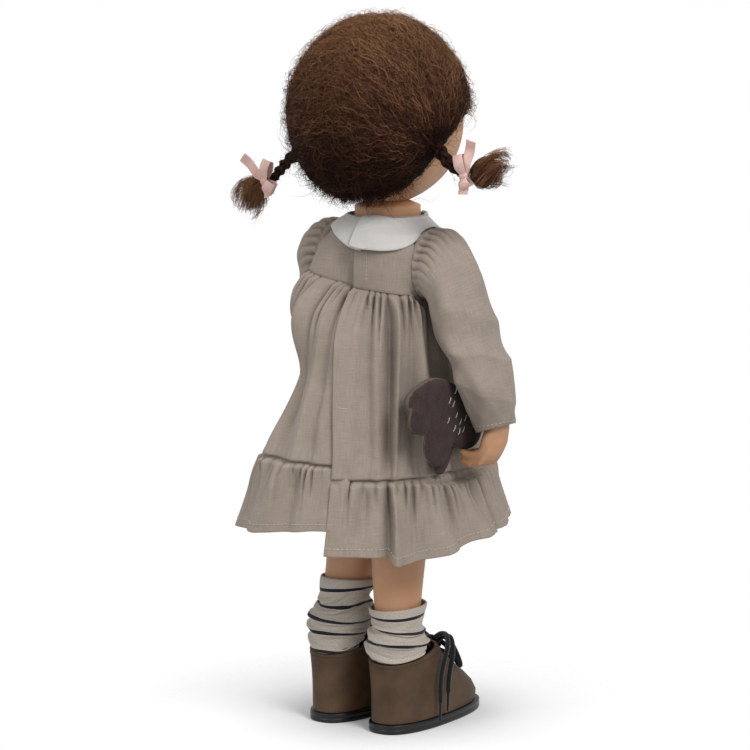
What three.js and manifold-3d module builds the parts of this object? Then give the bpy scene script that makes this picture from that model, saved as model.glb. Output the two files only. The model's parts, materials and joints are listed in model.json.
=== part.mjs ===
// A dressed play doll: hollow vinyl body, curly wig with two braids, gathered dress, knit socks,
// laced ankle boots and a small felt fawn held under the right arm.
// Lengths are in millimetres. The doll faces -Y, its right hand is at -X and +Z is up.
import * as THREE from 'three';
import { mergeVertices } from 'three/addons/utils/BufferGeometryUtils.js';
import Module from 'manifold-3d';

const wasm = await Module();
wasm.setup();

// Clearances and walls
const gap = 0.3;
const vinylWall = 2.4;
const clothThickness = 1.1;
const layerSpace = 1.7;
const stepBetweenLayers = clothThickness + layerSpace;
// Cuts reach at least this far past what they cut.
const past = 60;

// Joint centres
const shoulderHeight = 222;
const hipHeight = 132;
const hipBack = 2;
const leftArmForward = 65;

// Trunk: height as a share of the way from hips to shoulders, half width, half depth and middle from
// front to back
const trunkStations = [
  [-0.178, 7, 9, 2],
  [-0.089, 18, 14, 2],
  [0.044, 26, 17, 2],
  [0.2, 26, 17, 2],
  [0.422, 23.5, 16.5, 1],
  [0.7, 25, 17, 0],
  [0.911, 27.5, 17, 0],
];
// Shoulders and neck: height above the shoulder joints, half width, half depth and middle
const neckStations = [
  [4, 27, 16, 0],
  [12, 22.6, 14.5, 0],
  [18, 13.5, 13, 0],
  [22, 12.5, 12.5, 0],
  [29, 12.5, 12.5, 0],
];
const torsoStations = [
  ...trunkStations.map(([share, ...size]) => [hipHeight + share * (shoulderHeight - hipHeight), ...size]),
  ...neckStations.map(([above, ...size]) => [shoulderHeight + above, ...size]),
];
const shoulderFlat = 26;
const armHole = 6.5;
const armFlange = 8.2;
const thighRadius = 17.5;
const hipSides = 16;
// The socket's flat sides stay a gap away from the thigh's corners as it turns.
const legSocket = (thighRadius + gap) / Math.cos(Math.PI / hipSides);
const legSocketStart = 8;
const legHole = 6;
const legFlange = 8;
const flangeThickness = 1.8;
const neckGroove = 9;
const neckKnob = 11.4;
const neckBore = 6;
const knobRoom = 0.8;
const neckTop = torsoStations.at(-1)[0];

// Head
const headMiddle = [0, -1, shoulderHeight + 66];
const headHalf = [36.5, 36.5, 38.5];
const headWall = 3;
const jawTaper = 0.14;
const eyeRadius = 7;
const eyeBore = 3;
const eyeApart = 13;
const eyeHeight = headMiddle[2] - 9;
const eyeFront = headMiddle[1] - headHalf[1] + 10;
// Raised forms of the face: out from its middle, below the head's middle, spread and height
const faceForms = {
  nose: { out: 0, below: 16, spread: 2.6, height: 4.6 },
  leftCheek: { out: 17, below: 22, spread: 8, height: 1.8 },
  rightCheek: { out: -17, below: 22, spread: 8, height: 1.8 },
  mouth: { out: 0, below: 25.5, spread: 4, height: 1.4 },
  chin: { out: 0, below: 33.5, spread: 6, height: 1.6 },
};

// Hair
const hairMiddle = [0, 4.5, headMiddle[2] + 5];
const hairHalf = [41.8, 41.8, 44.8];
const faceWindow = { height: headMiddle[2] - 18, halfWidth: 42, halfHeight: 30, back: -7 };
const napeLine = { back: 27, backHeight: headMiddle[2] - 36, slope: 0.66 };
// Braids: out from the doll's middle, back and above the head's middle
const braids = {
  left: {
    root: [37, 13, -11],
    bend: [47, 14, -20],
    knot: [57, 12.5, -29],
    tuftBend: [66, 12, -34],
    tuftEnd: [75, 11, -41],
  },
  right: {
    root: [37, 13, -8],
    bend: [47, 14, -17],
    knot: [56.5, 12.5, -21.5],
    tuftBend: [64, 12, -20],
    tuftEnd: [74, 11, -16],
  },
};
const braidRoot = 4.2;
const braidEnd = 2.6;
const tuftRadius = 8.5;
const tiedHair = 1.7;
const elasticThickness = 1.6;
const ribbonWidth = 5;
const ribbonThickness = 0.7;
const ribbonLoop = 9;
const ribbonTail = 13;
const bowKnot = 1.7;

// Dress
const underlap = 10;
// The back edge leans to the right below the yoke, by this angle at the ruffle seam.
const edgeLean = 10;
const seamSpace = 0.7;
const swingSpace = 0.9;
const toySweep = { from: 45, to: 101 };
const handSweep = { from: 78, to: 98 };
const handBehind = 22;
// Yoke: height above the shoulder joints, half width and half depth
const yokeStations = [
  [21.4, 14.9, 14.7],
  [18.6, 20, 18.5],
  [14.4, 25, 22.5],
  [6, 28, 25],
  [-3, 28.2, 25.4],
  [-9, 28.2, 25.6],
].map(([above, ...size]) => [shoulderHeight + above, ...size]);
// The dress stands out behind the left arm: how far, in which direction and over what spread.
const leftBulge = { out: 5.5, direction: 38, spread: 24 };
const armscye = 16.2;
// How far in from the flat of the shoulder the armholes are cut, and the room above the skirt's side
const armholeReach = 3;
const skirtArmholeRoom = 1.1;
const collarWidth = 17;
const collarThickness = 0.9;
const collarLift = 1.5;
// The collar's ends over the shoulders are cut round, clear of the sleeve heads.
const collarCut = { radius: armscye + 6, below: 3, out: shoulderFlat + 0.8 };
const skirtTop = yokeStations.at(-1)[0] - 0.4;
// Heights of the ruffle seam and of the hem above the hip joints, by direction in degrees. The
// directions run from the top panel's edge at the middle of the back (-270), over the right side
// (-180), the front (-90) and the left side (0), to the lower panel's hidden edge.
const seamLine = fromHips([[-270, -6], [-60, -6], [0, -1], [50, 1], [130, -0.5]]);
const hemLine = fromHips([
  [-270, -40], [-235, -43.5], [-200, -42.5], [-180, -40], [-145, -35.5],
  [-90, -37], [-30, -34], [0, -32], [60, -31.5], [130, -34],
]);
// Skirt half widths, measured from the doll's middle, at eight directions counted from its left
// side by way of the back: just below the yoke, under the arms, at the thigh, at the ruffle seam
// and at the hem.
const skirtPlan = [
  { top: 28.4, chest: 32, waist: 36.5, seam: 45.5, hem: 60 },
  { top: 36.6, chest: 47, waist: 42, seam: 57, hem: 70 },
  { top: 27, chest: 36, waist: 50, seam: 60, hem: 68 },
  { top: 32, chest: 36, waist: 43, seam: 49, hem: 58 },
  { top: 28.2, chest: 30.5, waist: 36.5, seam: 39, hem: 56 },
  { top: 34, chest: 38, waist: 45, seam: 51, hem: 62 },
  { top: 28, chest: 37, waist: 55, seam: 65, hem: 72 },
  { top: 35, chest: 40, waist: 48, seam: 57, hem: 66 },
];
const skirtLevels = { chest: shoulderHeight - 26, waist: hipHeight + 31 };
const skirtFolds = 12;
const skirtFoldDepth = 1.6;
const ruffleFolds = 18;
const ruffleFoldDepth = 2.2;
const snapRadius = 2.2;
const snapThickness = 0.45;
const snapHeights = [4, -5].map((above) => shoulderHeight + above);
const snapAside = 3.2;
const snapSpace = 0.1;
const snapBore = 0.75;

// Arm rings: middle (out from the doll's middle, y, above the shoulder joints), half width and depth
const armStations = fromShoulders([
  [33, 0, -1, 9.5, 9.5],
  [40, 0.5, -10, 9.5, 10],
  [46, 1, -24, 8.8, 9.6],
  [53, 2, -40, 8.2, 9],
  [58, 2, -51, 7.8, 8.6],
  [60.6, 0, -62, 7.2, 7.8],
  [61.4, -2, -70, 6, 6.6],
  [61.6, -4, -76, 5.6, 6.4],
]);
const shoulderBall = 11;
const palmStations = fromShoulders([
  [61.6, -4, -75, 5.4, 6.2],
  [61.2, -3.6, -80, 5, 7.6],
  [59.4, -3, -85.5, 4.2, 8.2],
  [57.4, -3, -88.4, 3, 7.6],
]);
const thumbStations = fromShoulders([
  [59.4, -9, -81, 2.4, 2.4],
  [56.6, -12, -83.5, 2.4, 2.4],
  [54, -13, -85.5, 2, 2],
  [52.4, -13.2, -86.6, 1.1, 1.1],
]);
const fingerRadius = 2.1;
const fingerStart = -9.4;
const fingerSpread = 4.1;
const handInner = 45.4;
// The curl of a finger: out from the doll's middle, above the shoulder joints and share of its radius
const fingerCurl = [
  [59, -87, 1],
  [56, -90.8, 1],
  [50.6, -92.2, 0.95],
  [handInner, -91, 0.6],
];

// Sleeve rings: middle (out, y, above the shoulder joints), tilt from upright, half height across
// and half depth
const sleeveStations = fromShoulders([
  [27.1, 0, 0, 0, 15.8, 15.8],
  [33.4, 0, 0, 12, 17.2, 18.6],
  [41, 0.5, -7, 35, 16, 18.8],
  [45.4, 1, -19, 60, 13.8, 18.2],
  [48, 1, -30, 72, 13, 18],
  [54, 2, -41, 70, 11.6, 16],
  [58, 2, -51, 78, 12.4, 16.2],
  [60.5, 0, -62, 85, 11, 14],
  [61, -2, -69, 84, 10.4, 12.4],
  [61.6, -4, -74.4, 73, 9.8, 11],
]);

const sleeveColumns = 12;
const sleeveFoldDepth = 0.6;

// Legs and boots
const thighStart = legSocketStart + gap;
const thighFlat = 20;
const thighCap = 8;
// How far out each boot stands, where its heel ends and where the knee is
const stance = {
  left: { out: 20, back: 24.5, knee: [15.5, 3] },
  right: { out: 15.8, back: 26, knee: [14.5, 9.5] },
};
const heelToAnkle = 14;
const kneeHeight = 0.621 * hipHeight;
const ankleHeight = 42;
// Leg thickness by height, as a share of the hips' height: half width and half depth
const legStations = [
  [0.94, 13.6, 14.6],
  [0.803, 13.8, 14.4],
  [0.667, 13.3, 13.6],
  [0.545, 12, 12.6],
  [0.424, 10.6, 11.4],
  [0.303, 9.2, 9.8],
  [0.152, 8.8, 9.4],
].map(([share, ...size]) => [share * hipHeight, ...size]);
const hipOut = 13.8;
const bootLength = 75;
const soleThickness = 4.6;
const soleEdge = 1.2;
const soleHalf = 15.6;
const soleRounding = { wide: 0.8, long: 0.85 };
const bootRounding = { wide: 0.82, long: 0.88 };
const bootWall = 1.8;
const slitHalf = 2.6;
const slitStart = 21;
const tongueHalf = 5;
const tongueStart = 19;
const sockWall = 1.3;
const tongueInset = bootWall + 2 * gap;
const tongueThickness = 1.1;
const sockInset = tongueInset + tongueThickness + gap;
const footInset = sockInset + sockWall + gap;
// Boot outline by height: how far the front has drawn back from the toe, and half its width
const bootStations = [
  [5, 1.2, 14.4],
  [9, 1.2, 14.8],
  [14, 5, 14.6],
  [19, 12, 14.2],
  [24, 21, 14],
  [29, 31, 13.8],
  [35, 38.8, 14],
  [42, 40.8, 14.2],
];
const bootTopBack = 33.5;
const bootTopFront = 39;
const laceRows = 4;
const laceRadius = 0.9;
const laceHalfRow = 6;
const lowestLace = 23.5;
const knotHeight = 38;
const agletLength = 10;
const sockTop = { left: 69, right: 60 };
const sockFolds = 2;
const sockFoldDepth = 1.1;
const sockTubeStart = 26;
const sockRadius = 10.6;
const sockSlouch = 3;

// Toy fawn, lying along the doll's right side with its rump to the back
const toyInner = 40.5;
const toyHalfThickness = 4.2;
const toyMiddle = -(toyInner + toyHalfThickness);
const toyHeight = shoulderHeight - 66;

const side = { left: 1, right: -1 };
const degree = Math.PI / 180;

const vinyl = { color: '#c8a07f', roughness: 0.55 };
const hair = { color: '#4a3022', roughness: 0.8 };
const satin = { color: '#d9b9ae', roughness: 0.35 };
const linen = { color: '#a1958a', roughness: 0.95 };
const cotton = { color: '#e4e1de', roughness: 0.9 };
const knit = { color: '#beb4a6', roughness: 1 };
const leather = { color: '#5f4c3f', roughness: 0.6 };
const soleRubber = { color: '#1c1c1c', roughness: 0.7 };
const cord = { color: '#161616', roughness: 0.8 };
const felt = { color: '#40342f', roughness: 1 };
const clearPlastic = { color: '#cfd3d6', roughness: 0.25 };
const snapMetal = { color: '#b9bcc0', roughness: 0.3, metalness: 1 };
const eyeGloss = { color: '#4b3a2c', roughness: 0.08 };

const doll = new THREE.Group();

function addPiece(name, geometry, finish, parent = doll) {
  const mesh = new THREE.Mesh(geometry, new THREE.MeshStandardMaterial(finish));
  mesh.name = name;
  parent.add(mesh);
  return mesh;
}

function vector([x, y, z]) {
  return new THREE.Vector3(x, y, z);
}

// Stations [x, y, height, ...] with their heights given above the shoulder joints.
function fromShoulders(stations) {
  return stations.map(([x, y, above, ...size]) => [x, y, shoulderHeight + above, ...size]);
}

// A line [direction, height] with its heights given above the hip joints.
function fromHips(line) {
  return line.map(([direction, above]) => [direction, hipHeight + above]);
}

// A closed body from points and triangles, with its faces turned out.
function closedBody(points, triangles) {
  let volume = 0;
  for (const [a, b, c] of triangles) {
    volume += points[a].dot(points[b].clone().cross(points[c]));
  }
  const outward = volume < 0 ? triangles.map(([a, b, c]) => [a, c, b]) : triangles;
  const geometry = new THREE.BufferGeometry().setFromPoints(points);
  geometry.setIndex(outward.flat());
  geometry.computeVertexNormals();
  return geometry;
}

function solidOf(geometry) {
  const bare = geometry.clone();
  bare.deleteAttribute('normal');
  bare.deleteAttribute('uv');
  const merged = mergeVertices(bare, 1e-4);
  const index = merged.index.array;
  const kept = [];
  for (let i = 0; i < index.length; i += 3) {
    const [a, b, c] = [index[i], index[i + 1], index[i + 2]];
    if (a !== b && b !== c && c !== a) kept.push(a, b, c);
  }
  return new wasm.Manifold(new wasm.Mesh({
    numProp: 3,
    vertProperties: new Float32Array(merged.attributes.position.array),
    triVerts: new Uint32Array(kept),
  }));
}

function geometryOf(solid) {
  const mesh = solid.getMesh();
  const geometry = new THREE.BufferGeometry();
  geometry.setAttribute('position', new THREE.BufferAttribute(mesh.vertProperties, 3));
  geometry.setIndex(new THREE.BufferAttribute(mesh.triVerts, 1));
  geometry.computeVertexNormals();
  return geometry;
}

// The largest of a solid's separate bodies, without the slivers that a cut leaves.
function largestBody(solid) {
  return solid.decompose().reduce((best, body) => (body.volume() > best.volume() ? body : best));
}

// Skin over rings with equal numbers of points, closed at both ends.
function loftRings(rings) {
  const points = rings.flat();
  const count = rings[0].length;
  const triangles = [];
  for (let ring = 0; ring < rings.length - 1; ring++) {
    for (let i = 0; i < count; i++) {
      const here = ring * count + i;
      const next = ring * count + (i + 1) % count;
      triangles.push([here, next, next + count], [here, next + count, here + count]);
    }
  }
  for (const end of [0, rings.length - 1]) {
    const middle = new THREE.Vector3();
    rings[end].forEach((point) => middle.addScaledVector(point, 1 / count));
    points.push(middle);
    for (let i = 0; i < count; i++) {
      const face = [points.length - 1, end * count + i, end * count + (i + 1) % count];
      triangles.push(end === 0 ? [face[0], face[2], face[1]] : face);
    }
  }
  return closedBody(points, triangles);
}

// A round limb through stations [x, y, z, half width, half depth].
function limb(stations, sides, steps, grow = 0, reference = [0, 1, 0]) {
  const middles = new THREE.CatmullRomCurve3(stations.map(vector));
  const sizes = new THREE.CatmullRomCurve3(
    stations.map(([, , , wide, deep]) => new THREE.Vector3(wide + grow, deep + grow, 0)),
  );
  const rings = [];
  for (let step = 0; step <= steps; step++) {
    const along = step / steps;
    const middle = middles.getPoint(along);
    const size = sizes.getPoint(along);
    const forward = middles.getTangent(along);
    const deep = vector(reference).projectOnPlane(forward).normalize();
    const wide = new THREE.Vector3().crossVectors(deep, forward);
    const ring = [];
    for (let i = 0; i < sides; i++) {
      const turn = 2 * Math.PI * (i + 0.5) / sides;
      ring.push(middle.clone()
        .addScaledVector(wide, size.x * Math.cos(turn))
        .addScaledVector(deep, size.y * Math.sin(turn)));
    }
    rings.push(ring);
  }
  return loftRings(rings);
}

// Cloth with an outer and an inner face, each a function of how far across and how far down.
function cloth(faceAt, across, down, joined) {
  const columns = joined ? across : across + 1;
  const points = [];
  for (const depth of [0, 1]) {
    for (let row = 0; row <= down; row++) {
      for (let column = 0; column < columns; column++) {
        points.push(faceAt(column / across, row / down, depth));
      }
    }
  }
  const layer = columns * (down + 1);
  const at = (depth, row, column) => depth * layer + row * columns + column % columns;
  const triangles = [];
  const quad = (a, b, c, d) => triangles.push([a, b, c], [a, c, d]);
  for (let column = 0; column < across; column++) {
    for (let row = 0; row < down; row++) {
      quad(at(0, row, column), at(0, row, column + 1), at(0, row + 1, column + 1), at(0, row + 1, column));
      quad(at(1, row, column), at(1, row + 1, column), at(1, row + 1, column + 1), at(1, row, column + 1));
    }
    quad(at(0, 0, column), at(1, 0, column), at(1, 0, column + 1), at(0, 0, column + 1));
    quad(at(0, down, column), at(0, down, column + 1), at(1, down, column + 1), at(1, down, column));
  }
  for (let row = 0; row < down && !joined; row++) {
    quad(at(0, row, 0), at(0, row + 1, 0), at(1, row + 1, 0), at(1, row, 0));
    quad(at(0, row, across), at(1, row, across), at(1, row + 1, across), at(0, row + 1, across));
  }
  return closedBody(points, triangles);
}

function cylinderAlong(axis, radius, from, to, centre, sides = 18) {
  const geometry = new THREE.CylinderGeometry(radius, radius, Math.abs(to - from), sides);
  if (axis === 'x') geometry.rotateZ(-Math.PI / 2);
  if (axis === 'z') geometry.rotateX(Math.PI / 2);
  const middle = { x: 0, y: 0, z: 0, ...centre };
  middle[axis] = (from + to) / 2;
  geometry.translate(middle.x, middle.y, middle.z);
  return solidOf(geometry);
}

function boxBetween(low, high) {
  const size = low.map((value, i) => high[i] - value);
  const geometry = new THREE.BoxGeometry(...size);
  geometry.translate(...low.map((value, i) => value + size[i] / 2));
  return solidOf(geometry);
}

function smooth(value, from, to) {
  const share = THREE.MathUtils.clamp((value - from) / (to - from), 0, 1);
  return share * share * (3 - 2 * share);
}

// A value between the stations of a list [key, value, ...], on a smooth line.
function stationValue(stations, key, column) {
  const rising = stations[0][0] < stations.at(-1)[0];
  const ordered = rising ? stations : [...stations].reverse();
  let i = 0;
  while (i < ordered.length - 2 && key > ordered[i + 1][0]) i++;
  const share = THREE.MathUtils.clamp((key - ordered[i][0]) / (ordered[i + 1][0] - ordered[i][0]), 0, 1);
  return THREE.MathUtils.lerp(ordered[i][column], ordered[i + 1][column], share);
}

// Torso

function torsoBody(inset) {
  const stations = torsoStations.map(([height, wide, deep, back], i) => {
    const lift = i === 0 ? inset : 0;
    return [0, back, height + lift, wide - inset, deep - inset];
  });
  return solidOf(limb(stations, 14, 10));
}

function legSockets(grow) {
  const place = { y: hipBack, z: hipHeight };
  const far = shoulderFlat * 2;
  const start = legSocketStart - grow;
  return cylinderAlong('x', legSocket + grow, start, far, place, hipSides)
    .add(cylinderAlong('x', legSocket + grow, -far, -start, place, hipSides));
}

function torso() {
  const low = shoulderHeight - armscye;
  const high = shoulderHeight + armscye;
  const flats = (x) => boxBetween([x, -past, low], [x + past, past, high])
    .add(boxBetween([-x - past, -past, low], [-x, past, high]));
  const outer = torsoBody(0).subtract(flats(shoulderFlat));
  const cavity = torsoBody(vinylWall)
    .subtract(flats(shoulderFlat - vinylWall))
    .subtract(legSockets(vinylWall))
    .subtract(boxBetween([-past, -past, neckTop - vinylWall - 12], [past, past, neckTop + past]));
  const knob = cylinderAlong('z', neckGroove, neckTop - 1, neckTop + headWall + 1.6, {}, 14)
    .add(cylinderAlong('z', neckKnob, neckTop + headWall + 0.8, neckTop + headWall + 4, {}, 14));
  const shoulder = { y: 0, z: shoulderHeight };
  const hip = { y: hipBack, z: hipHeight };
  const flatInside = shoulderFlat - vinylWall;
  const relief = (way) => cylinderAlong(
    'x', armFlange + 2 * gap, way * (flatInside - 5), way * flatInside, shoulder, 12,
  );
  return outer
    .add(knob)
    .subtract(cavity)
    .subtract(relief(1).add(relief(-1)))
    .subtract(legSockets(0))
    .subtract(cylinderAlong('z', neckBore, neckTop - 20, neckTop + 20, {}, 10))
    .subtract(cylinderAlong('x', armHole, -shoulderFlat - 5, -shoulderFlat + 8, shoulder, 12))
    .subtract(cylinderAlong('x', armHole, shoulderFlat - 8, shoulderFlat + 5, shoulder, 12))
    .subtract(cylinderAlong('x', legHole, -legSocketStart - 1, legSocketStart + 1, hip, 12));
}

// Head

// The head's surface in a direction from its middle, as a point.
function headPoint(direction, grow = 0) {
  const [x, y, z] = direction.toArray();
  const reach = 1 / Math.sqrt((x / headHalf[0]) ** 2 + (y / headHalf[1]) ** 2 + (z / headHalf[2]) ** 2);
  const point = direction.clone().multiplyScalar(reach + grow);
  const down = Math.max(0, -point.z / headHalf[2]);
  point.x *= 1 - jawTaper * down * down;
  point.y = point.y > 0 ? point.y * (1 - 0.12 * down * down) : point.y;
  for (const { out, below, spread, height } of Object.values(faceForms)) {
    const off = (point.x - out) ** 2 + (point.z + below) ** 2;
    if (y < 0) point.y -= height * Math.exp(-off / (2 * spread * spread));
  }
  return point.add(vector(headMiddle));
}

// Rings around the line of sight of the face, closest together near the nose.
function headShape(point, around, rings) {
  const nose = vector([0, -1, -faceForms.nose.below / headHalf[1]]).normalize();
  const right = new THREE.Vector3(1, 0, 0);
  const up = new THREE.Vector3().crossVectors(right, nose);
  const loops = [];
  for (let ring = 0; ring <= rings; ring++) {
    const open = 0.02 + (Math.PI - 0.04) * (ring / rings) ** 1.35;
    const loop = [];
    for (let i = 0; i < around; i++) {
      const turn = 2 * Math.PI * i / around;
      loop.push(point(nose.clone().multiplyScalar(Math.cos(open))
        .addScaledVector(right, Math.sin(open) * Math.cos(turn))
        .addScaledVector(up, Math.sin(open) * Math.sin(turn))));
    }
    loops.push(loop);
  }
  return solidOf(loftRings(loops));
}

function ball(radius, centre, around = 10, rings = 7) {
  const geometry = new THREE.SphereGeometry(radius, around, rings);
  geometry.translate(...centre);
  return geometry;
}

function ellipsoid(half, centre, around, rings) {
  const geometry = new THREE.SphereGeometry(1, around, rings);
  geometry.rotateX(Math.PI / 2);
  geometry.scale(...half);
  geometry.translate(...centre);
  return solidOf(geometry);
}

function eyeCentres() {
  return [eyeApart, -eyeApart].map((x) => [x, eyeFront, eyeHeight]);
}

function head() {
  const outer = headShape((direction) => headPoint(direction), 20, 12)
    .subtract(boxBetween([-past, -past, neckTop - past], [past, past, neckTop + gap]));
  const inner = headHalf.map((half) => half - headWall);
  let cavity = ellipsoid([inner[0] * 0.97, inner[1] * 0.98, inner[2]], headMiddle, 12, 7)
    .add(cylinderAlong('z', neckKnob + knobRoom, neckTop + gap + headWall, neckTop + headWall + 9, {}, 14))
    .subtract(boxBetween([-past, -past, neckTop - past], [past, past, neckTop + gap + headWall]));
  for (const centre of eyeCentres()) {
    cavity = cavity.subtract(solidOf(ball(eyeRadius + gap + 2, centre)));
  }
  let shell = outer.subtract(cavity);
  for (const centre of eyeCentres()) {
    const [x, y, z] = centre;
    shell = shell
      .subtract(solidOf(ball(eyeRadius + gap, centre)))
      .subtract(cylinderAlong('y', eyeBore, y, y + 2 * eyeRadius, { x, z }, 8));
  }
  return shell.subtract(cylinderAlong('z', neckGroove + gap, neckTop - 5, neckTop + headWall + 5, {}, 14));
}

// Hair

function hairBody(grow) {
  return ellipsoid(hairHalf.map((half) => half + grow), hairMiddle, 20, 13);
}

function wig() {
  const scalp = headShape((direction) => headPoint(direction, gap), 20, 12);
  const face = new THREE.CylinderGeometry(1, 1, past, 18);
  face.scale(faceWindow.halfWidth, 1, faceWindow.halfHeight);
  face.translate(0, faceWindow.back - past / 2, faceWindow.height);
  const below = new THREE.BoxGeometry(3 * past, 3 * past, 2 * past);
  below.translate(0, 0, -past);
  below.rotateX(-Math.atan(napeLine.slope));
  below.translate(0, napeLine.back, napeLine.backHeight);
  return hairBody(0)
    .subtract(scalp)
    .subtract(solidOf(face))
    .subtract(solidOf(below));
}

// A named place on a braid.
function braidPlace(key, name) {
  const [out, back, above] = braids[key][name];
  return new THREE.Vector3(out * side[key], back, headMiddle[2] + above);
}

function braidSolid(key) {
  const radii = { root: braidRoot, bend: (braidRoot + braidEnd) / 2, knot: braidEnd };
  const stations = Object.entries(radii)
    .map(([name, radius]) => [...braidPlace(key, name).toArray(), radius, radius]);
  const { place, along } = tieFrame(key);
  const behind = along.clone().negate();
  return largestBody(solidOf(limb(stations, 8, 6))
    .subtract(hairBody(gap))
    .trimByPlane(behind.toArray(), behind.dot(place) + gap));
}

// The frame of the tie at a braid's end: where it is and which way the hair leaves it.
function tieFrame(key) {
  const place = braidPlace(key, 'knot');
  const along = braidPlace(key, 'tuftBend').sub(place).normalize();
  return { place, along };
}

function elastic(key) {
  const { place, along } = tieFrame(key);
  const inner = tiedHair + gap;
  const half = elasticThickness / 2;
  const profile = [];
  for (let i = 0; i <= 5; i++) {
    const turn = 2 * Math.PI * i / 5;
    profile.push(new THREE.Vector2(inner + half + half * Math.cos(turn), half * Math.sin(turn)));
  }
  const ring = new THREE.LatheGeometry(profile, 9);
  ring.applyQuaternion(new THREE.Quaternion().setFromUnitVectors(new THREE.Vector3(0, 1, 0), along));
  const centre = place.clone().addScaledVector(along, half + gap);
  ring.translate(centre.x, centre.y, centre.z);
  return ring;
}

// Loose hair below the tie, with the thin stretch that the elastic holds.
function tuft(key) {
  const { place, along } = tieFrame(key);
  const bend = braidPlace(key, 'tuftBend');
  const end = braidPlace(key, 'tuftEnd');
  const tip = end.clone().addScaledVector(end.clone().sub(bend).normalize(), 4);
  const start = place.clone().addScaledVector(along, gap);
  const held = start.clone().addScaledVector(along, elasticThickness + gap);
  const stations = [
    [...start.toArray(), tiedHair, tiedHair],
    [...held.toArray(), tiedHair, tiedHair],
    [...bend.toArray(), tuftRadius * 0.9, tuftRadius * 0.9],
    [...end.toArray(), tuftRadius * 0.62, tuftRadius * 0.62],
    [...tip.toArray(), 1, 1],
  ];
  return limb(stations, 8, 7);
}

// A ribbon strip: a drawn line given the ribbon's thickness and pushed out to its width.
function ribbonStrip(line) {
  const curve = new THREE.SplineCurve(line.map(([x, y]) => new THREE.Vector2(x, y)));
  const steps = 4;
  const one = [];
  const other = [];
  for (let i = 0; i <= steps; i++) {
    const point = curve.getPoint(i / steps);
    const tangent = curve.getTangent(i / steps);
    const across = new THREE.Vector2(-tangent.y, tangent.x).multiplyScalar(ribbonThickness / 2);
    one.push(point.clone().add(across));
    other.unshift(point.clone().sub(across));
  }
  const shape = new THREE.Shape([...one, ...other]);
  const strip = new THREE.ExtrudeGeometry(shape, { depth: ribbonWidth, bevelEnabled: false, steps: 1 });
  strip.translate(0, 0, -ribbonWidth / 2);
  return solidOf(strip);
}

// A bow of two loops and two tails with its knot, lying on the back of the tie.
function bow(key) {
  const loop = (way) => ribbonStrip([
    [0.2 * way, 0], [ribbonLoop * 0.55 * way, 2.6], [ribbonLoop * way, 1.6],
    [ribbonLoop * way, -0.6], [ribbonLoop * 0.5 * way, -0.9], [0.2 * way, -0.3],
  ]);
  const tail = (way, reach) => ribbonStrip([
    [0, 0], [reach * 0.35 * way, 1.4], [reach * 0.7 * way, 0.4], [reach * way, 1.6],
  ]);
  const knot = new THREE.CylinderGeometry(bowKnot, bowKnot, ribbonWidth * 0.8, 6);
  knot.rotateX(Math.PI / 2);
  const pieces = [loop(1), loop(-1)];
  pieces.push(tail(1, ribbonTail).rotate([0, 38, 0]), tail(-1, ribbonTail).rotate([0, -30, 0]));
  const tied = pieces.reduce((whole, piece) => whole.add(piece), solidOf(knot));
  const geometry = geometryOf(tied);
  const { place, along } = tieFrame(key);
  const out = new THREE.Vector3(0, 1, 0).addScaledVector(along, -along.y).normalize();
  const acrossBow = new THREE.Vector3().crossVectors(out, along);
  geometry.applyMatrix4(new THREE.Matrix4().makeBasis(acrossBow, out, along.clone()));
  const lift = tiedHair + gap + elasticThickness + gap + bowKnot;
  const centre = place.clone().addScaledVector(out, lift);
  geometry.translate(centre.x, centre.y, centre.z);
  return geometry;
}

// Dress

// The wrap runs from the left panel's hidden edge, round the left side, front and right side, and
// back over itself to the centre of the back. It gives the direction and how far the cloth sinks.
function wrapAt(across, backRadius, height) {
  const under = underlap / backRadius;
  const edge = Math.PI / 2 + edgeLean * degree * smooth(height, yokeStations.at(-1)[0], seamLine[0][1]);
  const angle = edge + under - across * (2 * Math.PI + under);
  const sunk = 1 - smooth(edge - angle, 0.12, 0.55);
  return { angle, sink: stepBetweenLayers * sunk };
}

function ovalReach(angle, wide, deep, power) {
  const x = Math.abs(Math.cos(angle) / wide) ** power;
  const y = Math.abs(Math.sin(angle) / deep) ** power;
  return (x + y) ** (-1 / power);
}

function yokeSquareness(height) {
  return 2 + 1.2 * smooth(yokeStations[0][0] - height, 0, 14);
}

function yokePoint(angle, height, out) {
  const wide = stationValue(yokeStations, height, 1);
  const deep = stationValue(yokeStations, height, 2);
  const square = yokeSquareness(height);
  const off = (angle / degree - leftBulge.direction) / leftBulge.spread;
  const bulge = leftBulge.out * Math.exp(-off * off) * smooth(yokeStations[0][0] - height, 8, 28);
  const reach = ovalReach(angle, wide, deep, square) + bulge + out;
  return new THREE.Vector3(reach * Math.cos(angle), reach * Math.sin(angle), height);
}

// How far out from the doll's middle the dress may reach at a distance from the line through both
// shoulders, so that the sleeves and the toy swing past it.
function sidewaysRoom(reach, y, way) {
  const near = sleeveSurface.filter((place) => Math.abs(place.reach - reach) < 3).map((place) => place.x);
  const within = ({ from, to }) => reach > from && reach < to;
  const toy = way < 0 && within(toySweep) ? toyInner : Infinity;
  const hand = within(handSweep) && y < handBehind ? handInner - 2 * gap : Infinity;
  return Math.min(...near, toy, hand) - swingSpace;
}

// A point of the dress, held clear of the sleeves' and the toy's sweep.
function heldClear(point, depth) {
  const reach = Math.hypot(point.y, point.z - shoulderHeight);
  const most = sidewaysRoom(reach, point.y, Math.sign(point.x)) - depth * clothThickness;
  if (Math.abs(point.x) > most) point.x = Math.sign(point.x) * most;
  return point;
}

function armholes(grow) {
  const place = { y: 0, z: shoulderHeight };
  const start = shoulderFlat - armholeReach;
  return cylinderAlong('x', armscye + grow, start, start + past, place, 18)
    .add(cylinderAlong('x', armscye + grow, -start - past, -start, place, 18));
}

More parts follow.
